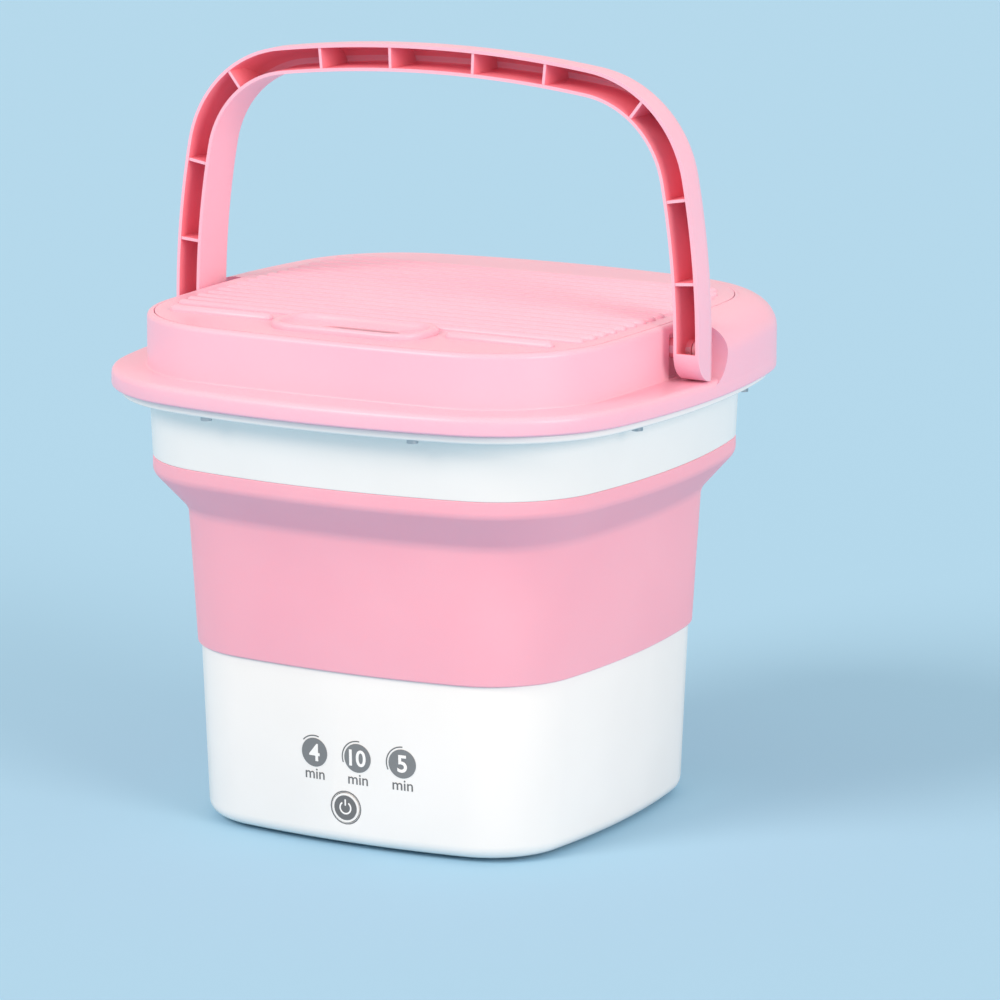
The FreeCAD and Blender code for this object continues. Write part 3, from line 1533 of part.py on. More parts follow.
LID_HALF = OPENING_HALF - S.lid_gap
LID_LOW = LEDGE_Z + S.lid_gap
RIDGES = 17
lid = new_body("washboard_lid")
pad(lid, block_outline(lid, LID_LOW, LID_HALF), RIM - LID_LOW)
RIDGE_HALF = LID_HALF - S.ridge_margin
ridge_sketch = sketch(lid, "YZ_Plane")
ridge_first = S.slot_y + S.slot_width / 2 + 3.0
draw_polygon(
    ridge_sketch,
    [
        (ridge_first + S.ridge_width / 2, RIM),
        (ridge_first + S.ridge_width / 6, RIM + S.ridge_height),
        (ridge_first - S.ridge_width / 6, RIM + S.ridge_height),
        (ridge_first - S.ridge_width / 2, RIM),
    ],
)
ridge = pad(lid, ridge_sketch, 230.0, middle=True)
linear(lid, [ridge], "Y_Axis", S.ridge_pitch * (RIDGES - 1), RIDGES)
trim = block_outline(lid, RIM, LID_HALF + 20)
grown = RIDGE_HALF - S.block_half
draw_outline(trim, RIDGE_HALF, S.block_bow + grown, S.block_corner + grown)
pocket(lid, trim, S.ridge_height + 1, back=True)

# Front bar, in two lengths beside the raised lip of the hand slot.
bar = sketch(lid, offset=RIM - 0.5)
BAR_Y = S.slot_y + 3.5
SLOT_END = S.slot_length / 2
for near, far in ((-106.0, -(SLOT_END + 6)), (SLOT_END + 6, 106.0)):
    draw_box(bar, near, BAR_Y - 3.5, far, BAR_Y + 3.5)
pad(lid, bar, S.bar_height + 0.5)


def draw_slot(flat, x_half, y_half, radius, middle_y):
    """A rounded rectangle for the hand slot."""
    r = number(radius)
    hx, hy, my = number(x_half), number(y_half), number(middle_y)
    first = flat.GeometryCount
    quarter = math.pi / 2
    spots = [(hx - r, my + hy - r), (r - hx, my + hy - r), (r - hx, my - hy + r), (hx - r, my - hy + r)]
    for k, (x, y) in enumerate(spots):
        arc = Part.Circle(Vector(x, y, 0), Vector(0, 0, 1), r)
        flat.addGeometry(Part.ArcOfCircle(arc, k * quarter, (k + 1) * quarter), False)
    ends = [((r - hx), my + hy), (-hx, my - hy + r), (hx - r, my - hy), (hx, my + hy - r)]
    starts = [(hx - r, my + hy), (-hx, my + hy - r), (r - hx, my - hy), (hx, my - hy + r)]
    for (sx, sy), (ex, ey) in zip(starts, ends):
        flat.addGeometry(Part.LineSegment(Vector(sx, sy, 0), Vector(ex, ey, 0)), False)
    for k in range(4):
        line = first + 4 + k
        flat.addConstraint(Sketcher.Constraint("Tangent", first + k, 2, line, 1))
        flat.addConstraint(Sketcher.Constraint("Tangent", line, 2, first + (k + 1) % 4, 1))
        datum(flat, "Radius", first + k, radius)
    datum(flat, "DistanceX", -1, 1, first, 3, x_half - radius)
    datum(flat, "DistanceX", -1, 1, first + 1, 3, radius - x_half)
    datum(flat, "DistanceY", -1, 1, first, 3, middle_y + y_half - radius)
    datum(flat, "DistanceY", -1, 1, first + 2, 3, middle_y - y_half + radius)


lip = sketch(lid, offset=RIM - 0.5)
draw_slot(lip, S.slot_length / 2, S.slot_width / 2, S.slot_width * 0.4, S.slot_y)
pad(lid, lip, S.bar_height + 0.5)
scoop = sketch(lid, offset=RIM + S.bar_height)
SLOT_LIP = 4.0
draw_slot(
    scoop,
    S.slot_length / 2 - SLOT_LIP,
    S.slot_width / 2 - SLOT_LIP,
    S.slot_width * 0.4 - SLOT_LIP,
    S.slot_y,
)
pocket(lid, scoop, S.bar_height + 1.4)
hand_gap = sketch(lid, offset=RIM + S.bar_height)
draw_slot(hand_gap, S.slot_length / 2 - 20, Size(7.0, "7"), Size(6.9, "6.9"), S.slot_y + 0.5)
pocket(lid, hand_gap, S.bar_height + S.lid_depth + 1)

# Underside: hollowed to a plate, apart from the edge and the hand slot's walls.
under = block_outline(lid, LID_LOW, LID_HALF - 4.0)
draw_slot(under, S.slot_length / 2 + 2, S.slot_width / 2 + 1, S.slot_width * 0.4, S.slot_y)
pocket(lid, under, S.lid_depth - S.lid_gap - S.lid_plate, back=True)
lid_seal = new_body("lid_seal")
seal_flat = block_outline(lid_seal, LID_LOW, LID_HALF - 4.0)
grown = LID_HALF - 6.6 - S.block_half
draw_outline(seal_flat, LID_HALF - 6.6, S.block_bow + grown, S.block_corner + grown)
pad(lid_seal, seal_flat, 2.4)

doc.recompute()

# ---- Checks and export --------------------------------------------------------------------------

for thing in doc.Objects:
    if "Invalid" in thing.State or "Error" in thing.State:
        raise RuntimeError(f"{thing.Label} failed: {thing.State}")
for name, thing in parts.items():
    if thing.Shape.isNull() or not thing.Shape.isValid():
        raise RuntimeError(f"{name} has no valid shape")

os.makedirs("parts", exist_ok=True)
for name, thing in parts.items():
    thing.Shape.exportStep(f"parts/{name}.step")
    print(f"{name}: {len(thing.Shape.Solids)} solids, {thing.Shape.Volume / 1000:.1f} cm3")
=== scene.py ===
import json
import math

import bmesh
import bpy
from mathutils import Matrix, Vector
from mathutils.bvhtree import BVHTree


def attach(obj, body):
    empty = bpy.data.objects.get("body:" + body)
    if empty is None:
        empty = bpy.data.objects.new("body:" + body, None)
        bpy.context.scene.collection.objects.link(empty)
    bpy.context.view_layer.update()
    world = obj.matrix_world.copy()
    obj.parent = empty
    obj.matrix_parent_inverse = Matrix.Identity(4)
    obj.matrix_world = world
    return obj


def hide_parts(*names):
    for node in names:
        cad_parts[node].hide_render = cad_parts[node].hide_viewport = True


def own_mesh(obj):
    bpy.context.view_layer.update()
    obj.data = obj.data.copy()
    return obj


# A portable folding mini washer: a white base with the drive and controls, a pink silicone wall
# that folds down, a white upper ring, and a pink top frame with a washboard lid and a handle.
# Lengths are written in millimetres and turned to metres by MM.
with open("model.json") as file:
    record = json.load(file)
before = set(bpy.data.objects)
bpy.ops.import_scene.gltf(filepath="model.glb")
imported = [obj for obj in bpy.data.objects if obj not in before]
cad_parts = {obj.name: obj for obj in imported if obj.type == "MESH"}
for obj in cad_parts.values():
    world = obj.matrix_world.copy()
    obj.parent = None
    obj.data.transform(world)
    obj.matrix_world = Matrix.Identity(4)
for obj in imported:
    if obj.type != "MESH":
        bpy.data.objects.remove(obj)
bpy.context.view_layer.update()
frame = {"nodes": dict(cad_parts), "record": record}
MM = 0.001

# ---- White base shell ----
# One injection moulding of glossy white ABS, with slightly bowed sides and a rolled bottom edge.
# A step at its top takes the silicone wall. It carries every other piece of the lower half.

# The half width, the side bow and the corner radius of each outline of the object.
FAMILIES = {
    "base": (102.5, 430.0, 42.0),
    "ring": (128.2, 400.0, 57.7),
    "block": (127.4, 1000.0, 64.0),
}


SIDE_STEPS, CORNER_STEPS = 14, 12


def outline_loop(bm, half, bow, corner, level):
    """A closed loop of edges: four bowed sides and four round corners, spun one after the other."""
    before = set(bm.edges)
    side = half - bow
    c = (side + math.sqrt(2 * (bow - corner) ** 2 - side**2)) / 2
    sweep = math.atan2(c, c - side)
    start = (side + bow * math.cos(sweep), -bow * math.sin(sweep), level)
    first = last = bm.verts.new(Vector(start) * MM)
    for quarter in range(4):
        turn = Matrix.Rotation(quarter * math.pi / 2, 3, "Z")
        for centre, angle, steps in (
            (Vector((side, 0, level)), 2 * sweep, SIDE_STEPS),
            (Vector((c, c, level)), math.pi / 2 - 2 * sweep, CORNER_STEPS),
        ):
            spun = bmesh.ops.spin(
                bm,
                geom=[last],
                cent=turn @ centre * MM,
                axis=(0, 0, 1),
                dvec=(0, 0, 0),
                angle=angle,
                steps=steps,
                use_duplicate=False,
            )
            last = next(g for g in spun["geom_last"] if isinstance(g, bmesh.types.BMVert))
    bmesh.ops.weld_verts(bm, targetmap={last: first})
    return [e for e in bm.edges if e not in before]


def family_loop(bm, family, half, level):
    """A loop of one of the object's outlines, kept parallel to that family's own size."""
    own_half, bow, corner = FAMILIES[family]
    grown = half - own_half
    return outline_loop(bm, half, bow + grown, corner + grown, level)


def rounded(bm, edges, radius, segments=5):
    """Rolls the given edges over with a radius in millimetres."""
    live = [e for e in edges if e.is_valid]
    bmesh.ops.bevel(
        bm,
        geom=live,
        offset=radius * MM,
        offset_type="OFFSET",
        segments=segments,
        profile=0.5,
        affect="EDGES",
        material=-1,
    )


LOOPS_APART = 0.5


def walled(bm, profile, closed=True):
    """A moulding's wall, bridged through its loops in turn. They stand apart while it is bridged,
    since loops on one level can be joined with a twist."""
    loops, rings = [], []
    for k, (make, _) in enumerate(profile):
        loops.append(make(bm))
        rings.append(list({v for e in loops[k] for v in e.verts}))
        bmesh.ops.translate(bm, verts=rings[k], vec=(0, 0, LOOPS_APART * k))
    pairs = list(zip(loops, loops[1:] + loops[:1])) if closed else list(zip(loops, loops[1:]))
    for low, high in pairs:
        bmesh.ops.bridge_loops(bm, edges=low + high)
    for k, ring in enumerate(rings):
        bmesh.ops.translate(bm, verts=ring, vec=(0, 0, -LOOPS_APART * k))
    for loop, (_, radius) in zip(loops, profile):
        if radius:
            rounded(bm, loop, radius)


def at(family, half, level, radius=0.0):
    """One loop of a wall's profile."""
    return (lambda bm: family_loop(bm, family, half, level), radius)


SHARP_FROM = math.radians(38.0)


def finished(bm, name, material, body, nodes=()):
    """Turns a bmesh into a piece of the object, on its CAD body and in place of its CAD nodes."""
    bmesh.ops.recalc_face_normals(bm, faces=bm.faces)
    mesh = bpy.data.meshes.new(name)
    bm.to_mesh(mesh)
    bm.free()
    piece = bpy.data.objects.new(name, mesh)
    bpy.context.scene.collection.objects.link(piece)
    mesh.polygons.foreach_set("use_smooth", [True] * len(mesh.polygons))
    mesh.set_sharp_from_angle(angle=SHARP_FROM)
    mesh.materials.append(material)
    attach(piece, body)
    if nodes:
        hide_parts(*nodes)
    return piece


def cut_with(bm, tool, operation="DIFFERENCE"):
    """Cuts one solid by another, or joins the two, and gives back the result as a new bmesh."""
    held = []
    for part in (bm, tool):
        bmesh.ops.recalc_face_normals(part, faces=part.faces)
        mesh = bpy.data.meshes.new("cut")
        part.to_mesh(mesh)
        part.free()
        thing = bpy.data.objects.new("cut", mesh)
        bpy.context.scene.collection.objects.link(thing)
        held.append(thing)
    step = held[0].modifiers.new("cut", "BOOLEAN")
    step.operation, step.solver, step.object = operation, "MANIFOLD", held[1]
    bpy.context.view_layer.update()
    result = bpy.data.meshes.new_from_object(
        held[0].evaluated_get(bpy.context.evaluated_depsgraph_get())
    )
    for thing in held:
        bpy.data.objects.remove(thing)
    made = bmesh.new()
    made.from_mesh(result)
    bpy.data.meshes.remove(result)
    return made


def rod(bm, centre, radius, length, axis, segments=64):
    """A capped round rod along X, Y or Z, centred on a point, in millimetres."""
    turn = {
        "X": Matrix.Rotation(math.pi / 2, 4, "Y"),
        "Y": Matrix.Rotation(-math.pi / 2, 4, "X"),
        "Z": Matrix.Identity(4),
    }[axis]
    return bmesh.ops.create_cone(
        bm,
        cap_ends=True,
        segments=segments,
        radius1=radius * MM,
        radius2=radius * MM,
        depth=length * MM,
        matrix=Matrix.Translation(Vector(centre) * MM) @ turn,
    )["verts"]


def block(bm, low, high):
    """A plain box between two corners, in millimetres."""
    low, high = Vector(low) * MM, Vector(high) * MM
    size = Matrix.Diagonal((*(high - low), 1.0))
    place = Matrix.Translation((low + high) / 2)
    return bmesh.ops.create_cube(bm, size=1.0, matrix=place @ size)["verts"]


def linear(colour, alpha=1.0):
    """A shader colour from an sRGB hex value."""
    parts = [int(colour[k : k + 2], 16) / 255 for k in (1, 3, 5)]
    return (*(p / 12.92 if p <= 0.04045 else ((p + 0.055) / 1.055) ** 2.4 for p in parts), alpha)


def add(tree, kind, links=(), **settings):
    """Adds a shader node, sets its properties and sockets, and links other sockets into it."""
    made = tree.nodes.new(f"ShaderNode{kind}")
    for name, value in settings.items():
        if hasattr(made, name):
            setattr(made, name, value)
        else:
            made.inputs[name.replace("_", " ")].default_value = value
    for socket, source in links:
        tree.links.new(source, made.inputs[socket])
    return made


# The colour drifts in clouds about 110 mm across, and the two ends show only in their middles.
DRIFT_SCALE = 9.0
SHADE_AT, COLOUR_AT = 0.35, 0.65
GLOSS_FROM, GLOSS_TO = 0.3, 0.7


def moulded(name, colour, shade, gloss, grain_mm, grain_depth_mm, **shader):
    """A finish for any piece: a colour that drifts to a shade, a fine grain, uneven gloss."""
    material = bpy.data.materials.new(name)
    material.use_nodes = True
    tree = material.node_tree
    tree.nodes.clear()
    place = add(tree, "TexCoord").outputs["Object"]
    clouds = {"Scale": DRIFT_SCALE, "Detail": 3.0, "Roughness": 0.55}
    drift = add(tree, "TexNoise", [("Vector", place)], **clouds)
    tint = add(tree, "ValToRGB", [("Fac", drift.outputs["Fac"])])
    tint.color_ramp.elements[0].position = SHADE_AT
    tint.color_ramp.elements[1].position = COLOUR_AT
    tint.color_ramp.elements[0].color = linear(shade)
    tint.color_ramp.elements[1].color = linear(colour)
    grain = add(tree, "TexNoise", [("Vector", place)], Scale=1.0 / (grain_mm * MM), Detail=2.0)
    low, high = gloss
    polish = add(
        tree,
        "MapRange",
        [("Value", drift.outputs["Fac"])],
        From_Min=GLOSS_FROM,
        From_Max=GLOSS_TO,
        To_Min=low,
        To_Max=high,
    )
    bump = add(
        tree,
        "Bump",
        [("Height", grain.outputs["Fac"])],
        Strength=1.0,
        Distance=grain_depth_mm * MM,
    )
    surface = add(
        tree,
        "BsdfPrincipled",
        [
            ("Base Color", tint.outputs["Color"]),
            ("Roughness", polish.outputs["Result"]),
            ("Normal", bump.outputs["Normal"]),
        ],
        **shader,
    )
    add(tree, "OutputMaterial", [("Surface", surface.outputs["BSDF"])])
    return material


# Injection-moulded ABS, polished tool: bright, slightly warm white with soft sharp-edged glints.
white_abs = moulded(
    "white_abs_polished", "#F6F5F3", "#F1F0EE", (0.2, 0.27), 0.9, 0.004,
    IOR=1.53, Coat_Weight=0.2, Coat_Roughness=0.12,
)

BASE_HALF, BASE_FOOT = 102.5, 2.0
SEAM_HALF, SEAM = 106.0, 90.0
bm = bmesh.new()
walled(
    bm,
    [
        at("base", BASE_HALF, BASE_FOOT, 7.0),
        at("base", SEAM_HALF, SEAM, 0.8),
        at("base", 104.2, SEAM),
        at("base", 104.2, 97.0, 0.5),
        at("base", 101.7, 97.0),
        at("base", 100.0, 6.5),
        at("base", 88.0, 6.5),
        at("base", 88.0, 4.5),
        at("base", 94.4, 4.5),
        at("base", 94.4, BASE_FOOT),
    ],
)
BUTTON_X, BUTTON_Z, BUTTON_R, BUTTON_GAP = 1.0, 21.5, 7.4, 0.35
INLET_X, INLET_Z, INLET_HOLE_R = 50.0, 25.0, 4.1
DRAIN_X, DRAIN_Z, DRAIN_HOLE_R = -45.0, 46.0, 8.6
HOLES_Y = 103.0
LENS_X, LENS_PITCH, LENS_Z, LENS_R = -16.2, 24.4, 47.5, 7.3
holes = bmesh.new()
rod(holes, (BUTTON_X, -HOLES_Y, BUTTON_Z), BUTTON_R + BUTTON_GAP, 16, "Y")
rod(holes, (INLET_X, HOLES_Y, INLET_Z), INLET_HOLE_R, 20, "Y")
rod(holes, (DRAIN_X, HOLES_Y, DRAIN_Z), DRAIN_HOLE_R, 20, "Y")
bm = cut_with(bm, holes)
finished(bm, "base_shell_visual", white_abs, "base", ["base_shell"])

# ---- Printed mode marks ----
# Three smoked grey discs with white numerals and the minutes below, and a timer arc round each.
# They are pad-printed lenses that sit flush in the front wall.


# The base's side bow less its half width, the same at every level.
BASE_BOW_BEYOND = 327.5


def face_y(x, z):
    """Where the base's front face is, at a place across and up, in millimetres."""
    half = BASE_HALF + (SEAM_HALF - BASE_HALF) * (z - BASE_FOOT) / (SEAM - BASE_FOOT)
    bow = BASE_BOW_BEYOND + half
    return -(half - bow + math.sqrt(bow * bow - x * x))


def wrapped(bm, x, z, proud):
    """Lays a figure, drawn on XY in millimetres, on the front face, a little proud of it."""
    for v in bm.verts:
        across, up, out = x + v.co.x, z + v.co.y, v.co.z
        v.co = Vector((across, face_y(across, up) - proud - out, up)) * MM


# Smoked polycarbonate, back-printed: mid grey with a clear, shiny face.
smoked_grey = moulded(
    "smoked_polycarbonate", "#7E7F80", "#777879", (0.12, 0.18), 0.8, 0.002,
    IOR=1.58, Coat_Weight=0.5, Coat_Roughness=0.06,
)
# Pad-printed ink: flat, dull and slightly uneven at its edge.
grey_ink = moulded("grey_print", "#6E7072", "#686A6C", (0.45, 0.6), 0.3, 0.004, IOR=1.45)
white_ink = moulded("white_print", "#FBFBFA", "#F4F4F2", (0.4, 0.5), 0.3, 0.003, IOR=1.45)


def disc(bm, radius, thick, segments=56):
    """A thin capped disc on XY, with a narrow band marked off round its top."""
    made = bmesh.ops.create_circle(bm, cap_ends=True, segments=segments, radius=radius)
    face = made["verts"][0].link_faces[0]
    inner = bmesh.ops.inset_region(bm, faces=[face], thickness=radius * 0.04, depth=0.0)
    up = bmesh.ops.extrude_face_region(bm, geom=[face, *inner["faces"]])
    raised = [g for g in up["geom"] if isinstance(g, bmesh.types.BMVert)]
    bmesh.ops.translate(bm, verts=raised, vec=(0, 0, thick))


def arc_strip(bm, radius, width, start, end, thick):
    """A raised strip that follows an arc on XY, from one angle to another, in degrees."""
    flat = [
        bm.verts.new(Matrix.Rotation(math.radians(start), 3, "Z") @ Vector((r, 0, z)))
        for r, z in (
            (radius - width / 2, 0),
            (radius + width / 2, 0),
            (radius + width / 2, thick),
            (radius - width / 2, thick),
        )
    ]
    face = bm.faces.new(flat)
    bmesh.ops.spin(
        bm,
        geom=[face],
        cent=(0, 0, 0),
        axis=(0, 0, 1),
        dvec=(0, 0, 0),
        angle=math.radians(end - start),
        steps=24,
        use_duplicate=False,
    )


def lettered(words, size, thick, bolder=0.0):
    """Plain lettering as a solid on XY, centred on the origin."""
    curve = bpy.data.curves.new("lettering", "FONT")
    curve.body, curve.size, curve.offset = words, size, bolder
    curve.align_x, curve.align_y = "CENTER", "CENTER"
    curve.extrude = thick / 2
    thing = bpy.data.objects.new("lettering", curve)
    bpy.context.scene.collection.objects.link(thing)
    bpy.context.view_layer.update()
    mesh = bpy.data.meshes.new_from_object(
        thing.evaluated_get(bpy.context.evaluated_depsgraph_get())
    )
    bpy.data.objects.remove(thing)
    made = bmesh.new()
    made.from_mesh(mesh)
    bpy.data.meshes.remove(mesh)
    low = min(v.co.y for v in made.verts)
    high = max(v.co.y for v in made.verts)
    left = min(v.co.x for v in made.verts)
    right = max(v.co.x for v in made.verts)
    bmesh.ops.translate(
        made, verts=made.verts, vec=(-(left + right) / 2, -(low + high) / 2, thick / 2)
    )
    bmesh.ops.remove_doubles(made, verts=made.verts, dist=0.001)
    return made


LENS_THICK, LENS_PROUD = 0.12, 0.04
NUMERAL_THICK, NUMERAL_PROUD = 0.1, 0.14
INK_THICK, INK_PROUD, LINE_WIDTH = 0.05, 0.02, 0.6
ARC_GAP, MINUTES_SIZE, MINUTES_DROP = 1.2, 7.9, 10.9
NUMERAL_SIZES = {1: 12.2, 2: 11.4}
# Each mode's minutes, and the angles at which its timer arc starts and ends.
MODES = (("4", 72, 138), ("10", 82, 200), ("5", 88, 205))
for k, (minutes, arc_from, arc_to) in enumerate(MODES):
    x = LENS_X + LENS_PITCH * k
    bm = bmesh.new()
    disc(bm, LENS_R, LENS_THICK)
    wrapped(bm, x, LENS_Z, LENS_PROUD)
    lens = finished(bm, f"mode_lens_{minutes}", smoked_grey, "base")
    if k == 0:
        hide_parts("mode_lenses")
    bm = lettered(minutes, NUMERAL_SIZES[len(minutes)], NUMERAL_THICK, 0.2)
    wrapped(bm, x, LENS_Z, NUMERAL_PROUD)
    finished(bm, f"mode_numeral_{minutes}", white_ink, "base")
    bm = bmesh.new()
    arc_strip(bm, LENS_R + ARC_GAP, LINE_WIDTH, arc_from, arc_to, INK_THICK)
    wrapped(bm, x, LENS_Z, INK_PROUD)
    finished(bm, f"mode_arc_{minutes}", grey_ink, "base")
    bm = lettered("min", MINUTES_SIZE, INK_THICK, 0.05)
    wrapped(bm, x, LENS_Z - MINUTES_DROP, INK_PROUD)
    finished(bm, f"mode_minutes_{minutes}", grey_ink, "base")

# ---- Start button ----
# A white ABS cap in a hole in the front wall, with a printed grey disc and a plain power sign.
# It travels in by under a millimetre. A thin printed ring surrounds it on the shell.
CAP_LENGTH, CAP_PROUD = 8.0, 0.4
DISC_R, DISC_THICK, DISC_PROUD = 6.3, 0.06, 0.42
SIGN_R, SIGN_WIDTH, SIGN_PROUD = 3.0, 0.8, 0.49
STROKE_UP, STROKE_LENGTH = 2.7, 3.2
RING_GAP = 0.9
bm = bmesh.new()
disc(bm, BUTTON_R, CAP_LENGTH)
wrapped(bm, BUTTON_X, BUTTON_Z, CAP_PROUD - CAP_LENGTH)
finished(bm, "start_button_cap", white_abs, "start_button", ["start_button"])
bm = bmesh.new()
disc(bm, DISC_R, DISC_THICK)
wrapped(bm, BUTTON_X, BUTTON_Z, DISC_PROUD)
finished(bm, "start_button_disc", grey_ink, "start_button")
bm = bmesh.new()
arc_strip(bm, SIGN_R, SIGN_WIDTH, 125, 415, INK_THICK)
bmesh.ops.create_cube(
    bm,
    size=1.0,
    matrix=Matrix.Translation((0, STROKE_UP, INK_THICK / 2))
    @ Matrix.Diagonal((SIGN_WIDTH, STROKE_LENGTH, INK_THICK, 1)),
)
wrapped(bm, BUTTON_X, BUTTON_Z, SIGN_PROUD)
finished(bm, "start_button_sign", white_ink, "start_button")
bm = bmesh.new()
arc_strip(bm, BUTTON_R + RING_GAP, LINE_WIDTH, 0, 359.9, INK_THICK)
wrapped(bm, BUTTON_X, BUTTON_Z, INK_PROUD)
finished(bm, "start_button_ring", grey_ink, "base")

# ---- Folding wall ----
# One compression moulding in pink silicone: a slightly leaning wall, a wide shoulder and a band
# that is flush with the ring above. It folds down over the base as the upper half is pressed.
SHOULDER_SHARE = 0.3
RING_BOW_BEYOND = 271.8
BASE_INSET, RING_INSET = 60.5, 70.5
RING_HALF, RING_FOOT = 128.2, 185.3
BEAD_HALF, BEAD_TOP = 122.5, 195.3


def soft(half, level, share, radius=0.0):
    """A loop of the soft wall, whose outline changes from the base's form to the ring's."""
    bow = BASE_BOW_BEYOND * (1 - share) + RING_BOW_BEYOND * share + half
    inset = BASE_INSET * (1 - share) + RING_INSET * share
    return (lambda bm: outline_loop(bm, half, bow, half - inset, level), radius)


# Silicone rubber, compression moulded: satin pink that lets a little light through its edges.
pink_silicone = moulded(
    "silicone_compression_moulded", "#FBB4C4", "#F9AFC0", (0.42, 0.5), 1.4, 0.006,
    IOR=1.41, Subsurface_Weight=0.15, Subsurface_Radius=(0.006, 0.002, 0.002),
    Subsurface_Scale=1.0,
)

bm = bmesh.new()
walled(
    bm,
    [
        soft(107.8, SEAM, 0.0, 0.9),
        soft(109.6, 125.0, 0.15),
        soft(111.5, 159.0, SHOULDER_SHARE, 3.2),
        soft(RING_HALF, 177.6, 1.0, 2.2),
        soft(RING_HALF, RING_FOOT, 1.0, 0.5),
        soft(125.5, RING_FOOT, 1.0),
        soft(125.5, BEAD_TOP, 1.0),
        soft(BEAD_HALF, BEAD_TOP, 1.0),
        soft(BEAD_HALF, 179.0, 1.0, 3.0),
        soft(108.5, 160.5, SHOULDER_SHARE, 4.0),
        soft(104.25, 99.6, 0.0),
        soft(104.25, SEAM, 0.0),
    ],
)
wall = finished(bm, "folding_wall_visual", pink_silicone, "base", ["folding_wall"])
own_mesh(wall)

# ---- White upper ring ----
# A glossy white ABS hoop that the silicone's bead is clipped into, with a flat lip at its top.
# The pink frame is screwed down on the lip, and fingers go under it to lift the washer.
LIP_HALF, LIP_FOOT, LIP_TOP = 143.5, 216.3, 220.3
bm = bmesh.new()
walled(
    bm,
    [
        at("ring", RING_HALF, RING_FOOT, 0.7),
        at("ring", 129.5, LIP_FOOT, 3.0),
        at("ring", LIP_HALF, LIP_FOOT, 1.2),
        at("ring", LIP_HALF, LIP_TOP, 1.2),
        at("ring", 127.0, LIP_TOP),
        at("ring", 125.7, RING_FOOT),
    ],
)
finished(bm, "upper_ring_visual", white_abs, "upper_frame", ["upper_ring"])

# ---- Pink top frame ----
# A polypropylene moulding: a flat flange, a raised block round the lid, and a rear skirt that
# bulges from the flange's edge to the rim and ends in a round pocket behind each handle arm.
PIVOT_Y, PIVOT_Z = -2.0, 245.0
FLANGE_HALF, FLANGE_FOOT, FLANGE_TOP = 148.1, 220.7, 230.0
BLOCK_HALF, RIM_TOP = 127.4, 257.0
POCKET_R, SKIRT_FOOT = 17.9, 227.0

# Polypropylene, injection moulded with a satin tool: milky pink, soft broad highlights.
pink_pp = moulded(
    "polypropylene_satin", "#FCC1D3", "#FABCD0", (0.3, 0.38), 1.1, 0.005,
    IOR=1.49, Subsurface_Weight=0.12, Subsurface_Radius=(0.006, 0.002, 0.002),
    Subsurface_Scale=1.0,
)

bm = bmesh.new()
walled(
    bm,
    [
        at("ring", FLANGE_HALF, FLANGE_FOOT, 1.2),
        at("ring", FLANGE_HALF, FLANGE_TOP, 3.2),
        at("block", BLOCK_HALF, FLANGE_TOP, 1.0),
        at("block", BLOCK_HALF, RIM_TOP, 2.6),
        at("block", 123.9, RIM_TOP, 0.5),
        at("block", 123.9, 249.0),
        at("block", 117.4, 249.0, 0.6),
        at("block", 117.4, 246.0),
        at("block", 124.4, 246.0),
        at("block", 124.4, FLANGE_TOP),
        at("ring", 124.1, 229.0),
        at("ring", 124.1, 214.2, 0.5),
        at("ring", 126.6, 214.2),
        at("ring", 126.6, FLANGE_FOOT),
    ],
)
slots = bmesh.new()
for side in (-1, 1):
    near, far = sorted((side * 124.6, side * 131.0))
    block(slots, (near, -7.8, 230.4), (far, 11.0, 252.5))
bm = cut_with(bm, slots)

skirt = bmesh.new()
steps = []
SKIRT_STEPS, SKIRT_SWEEP = 9, math.radians(88)
for k in range(SKIRT_STEPS + 1):
    angle = SKIRT_SWEEP * k / SKIRT_STEPS
    steps.append(at("ring", 129.2 + 18.9 * math.cos(angle), 240.6 + 16.2 * math.sin(angle)))
walled(
    skirt,
    [
        at("ring", FLANGE_HALF, SKIRT_FOOT),
        *steps,
        at("block", 125.9, 256.8),
        at("block", 125.9, SKIRT_FOOT),
    ],
)
room = bmesh.new()
rod(room, (0, PIVOT_Y, PIVOT_Z), POCKET_R, 400, "X", 96)
skirt = cut_with(skirt, room)
room = bmesh.new()
block(room, (-200, -200, 220), (200, PIVOT_Y, 270))
skirt = cut_with(skirt, room)
bm = cut_with(bm, skirt, "UNION")
bmesh.ops.remove_doubles(bm, verts=bm.verts, dist=0.000001)
finished(bm, "top_frame_visual", pink_pp, "upper_frame", ["top_frame"])

# ---- Washboard lid ----
# A loose polypropylene lid in the frame's rebate. Rows of rounded ridges scrub the washing, and
# a raised lip round a hand slot lifts it out. A low bar runs from the slot towards each side.
SLOT_Y, LID_HALF, LID_FOOT = -91.0, 123.55, 249.35
SAME_LEVEL, CAP_INSET = 1e-5, 0.0015
bm = bmesh.new()
walled(
    bm,
    [
        at("block", LID_HALF, RIM_TOP, 1.0),
        at("block", LID_HALF, LID_FOOT),
        at("block", 119.55, LID_FOOT),
        at("block", 119.55, 254.0),
    ],
    closed=False,
)
rims = [e for e in bm.edges if e.is_boundary]
highest = max(e.verts[0].co.z for e in rims)
for rim in (
    [e for e in rims if e.verts[0].co.z > highest - SAME_LEVEL],
    [e for e in rims if e.verts[0].co.z <= highest - SAME_LEVEL],
):
    cap = bmesh.ops.contextual_create(bm, geom=rim)["faces"]
    bmesh.ops.inset_region(bm, faces=cap, thickness=CAP_INSET, depth=0.0)


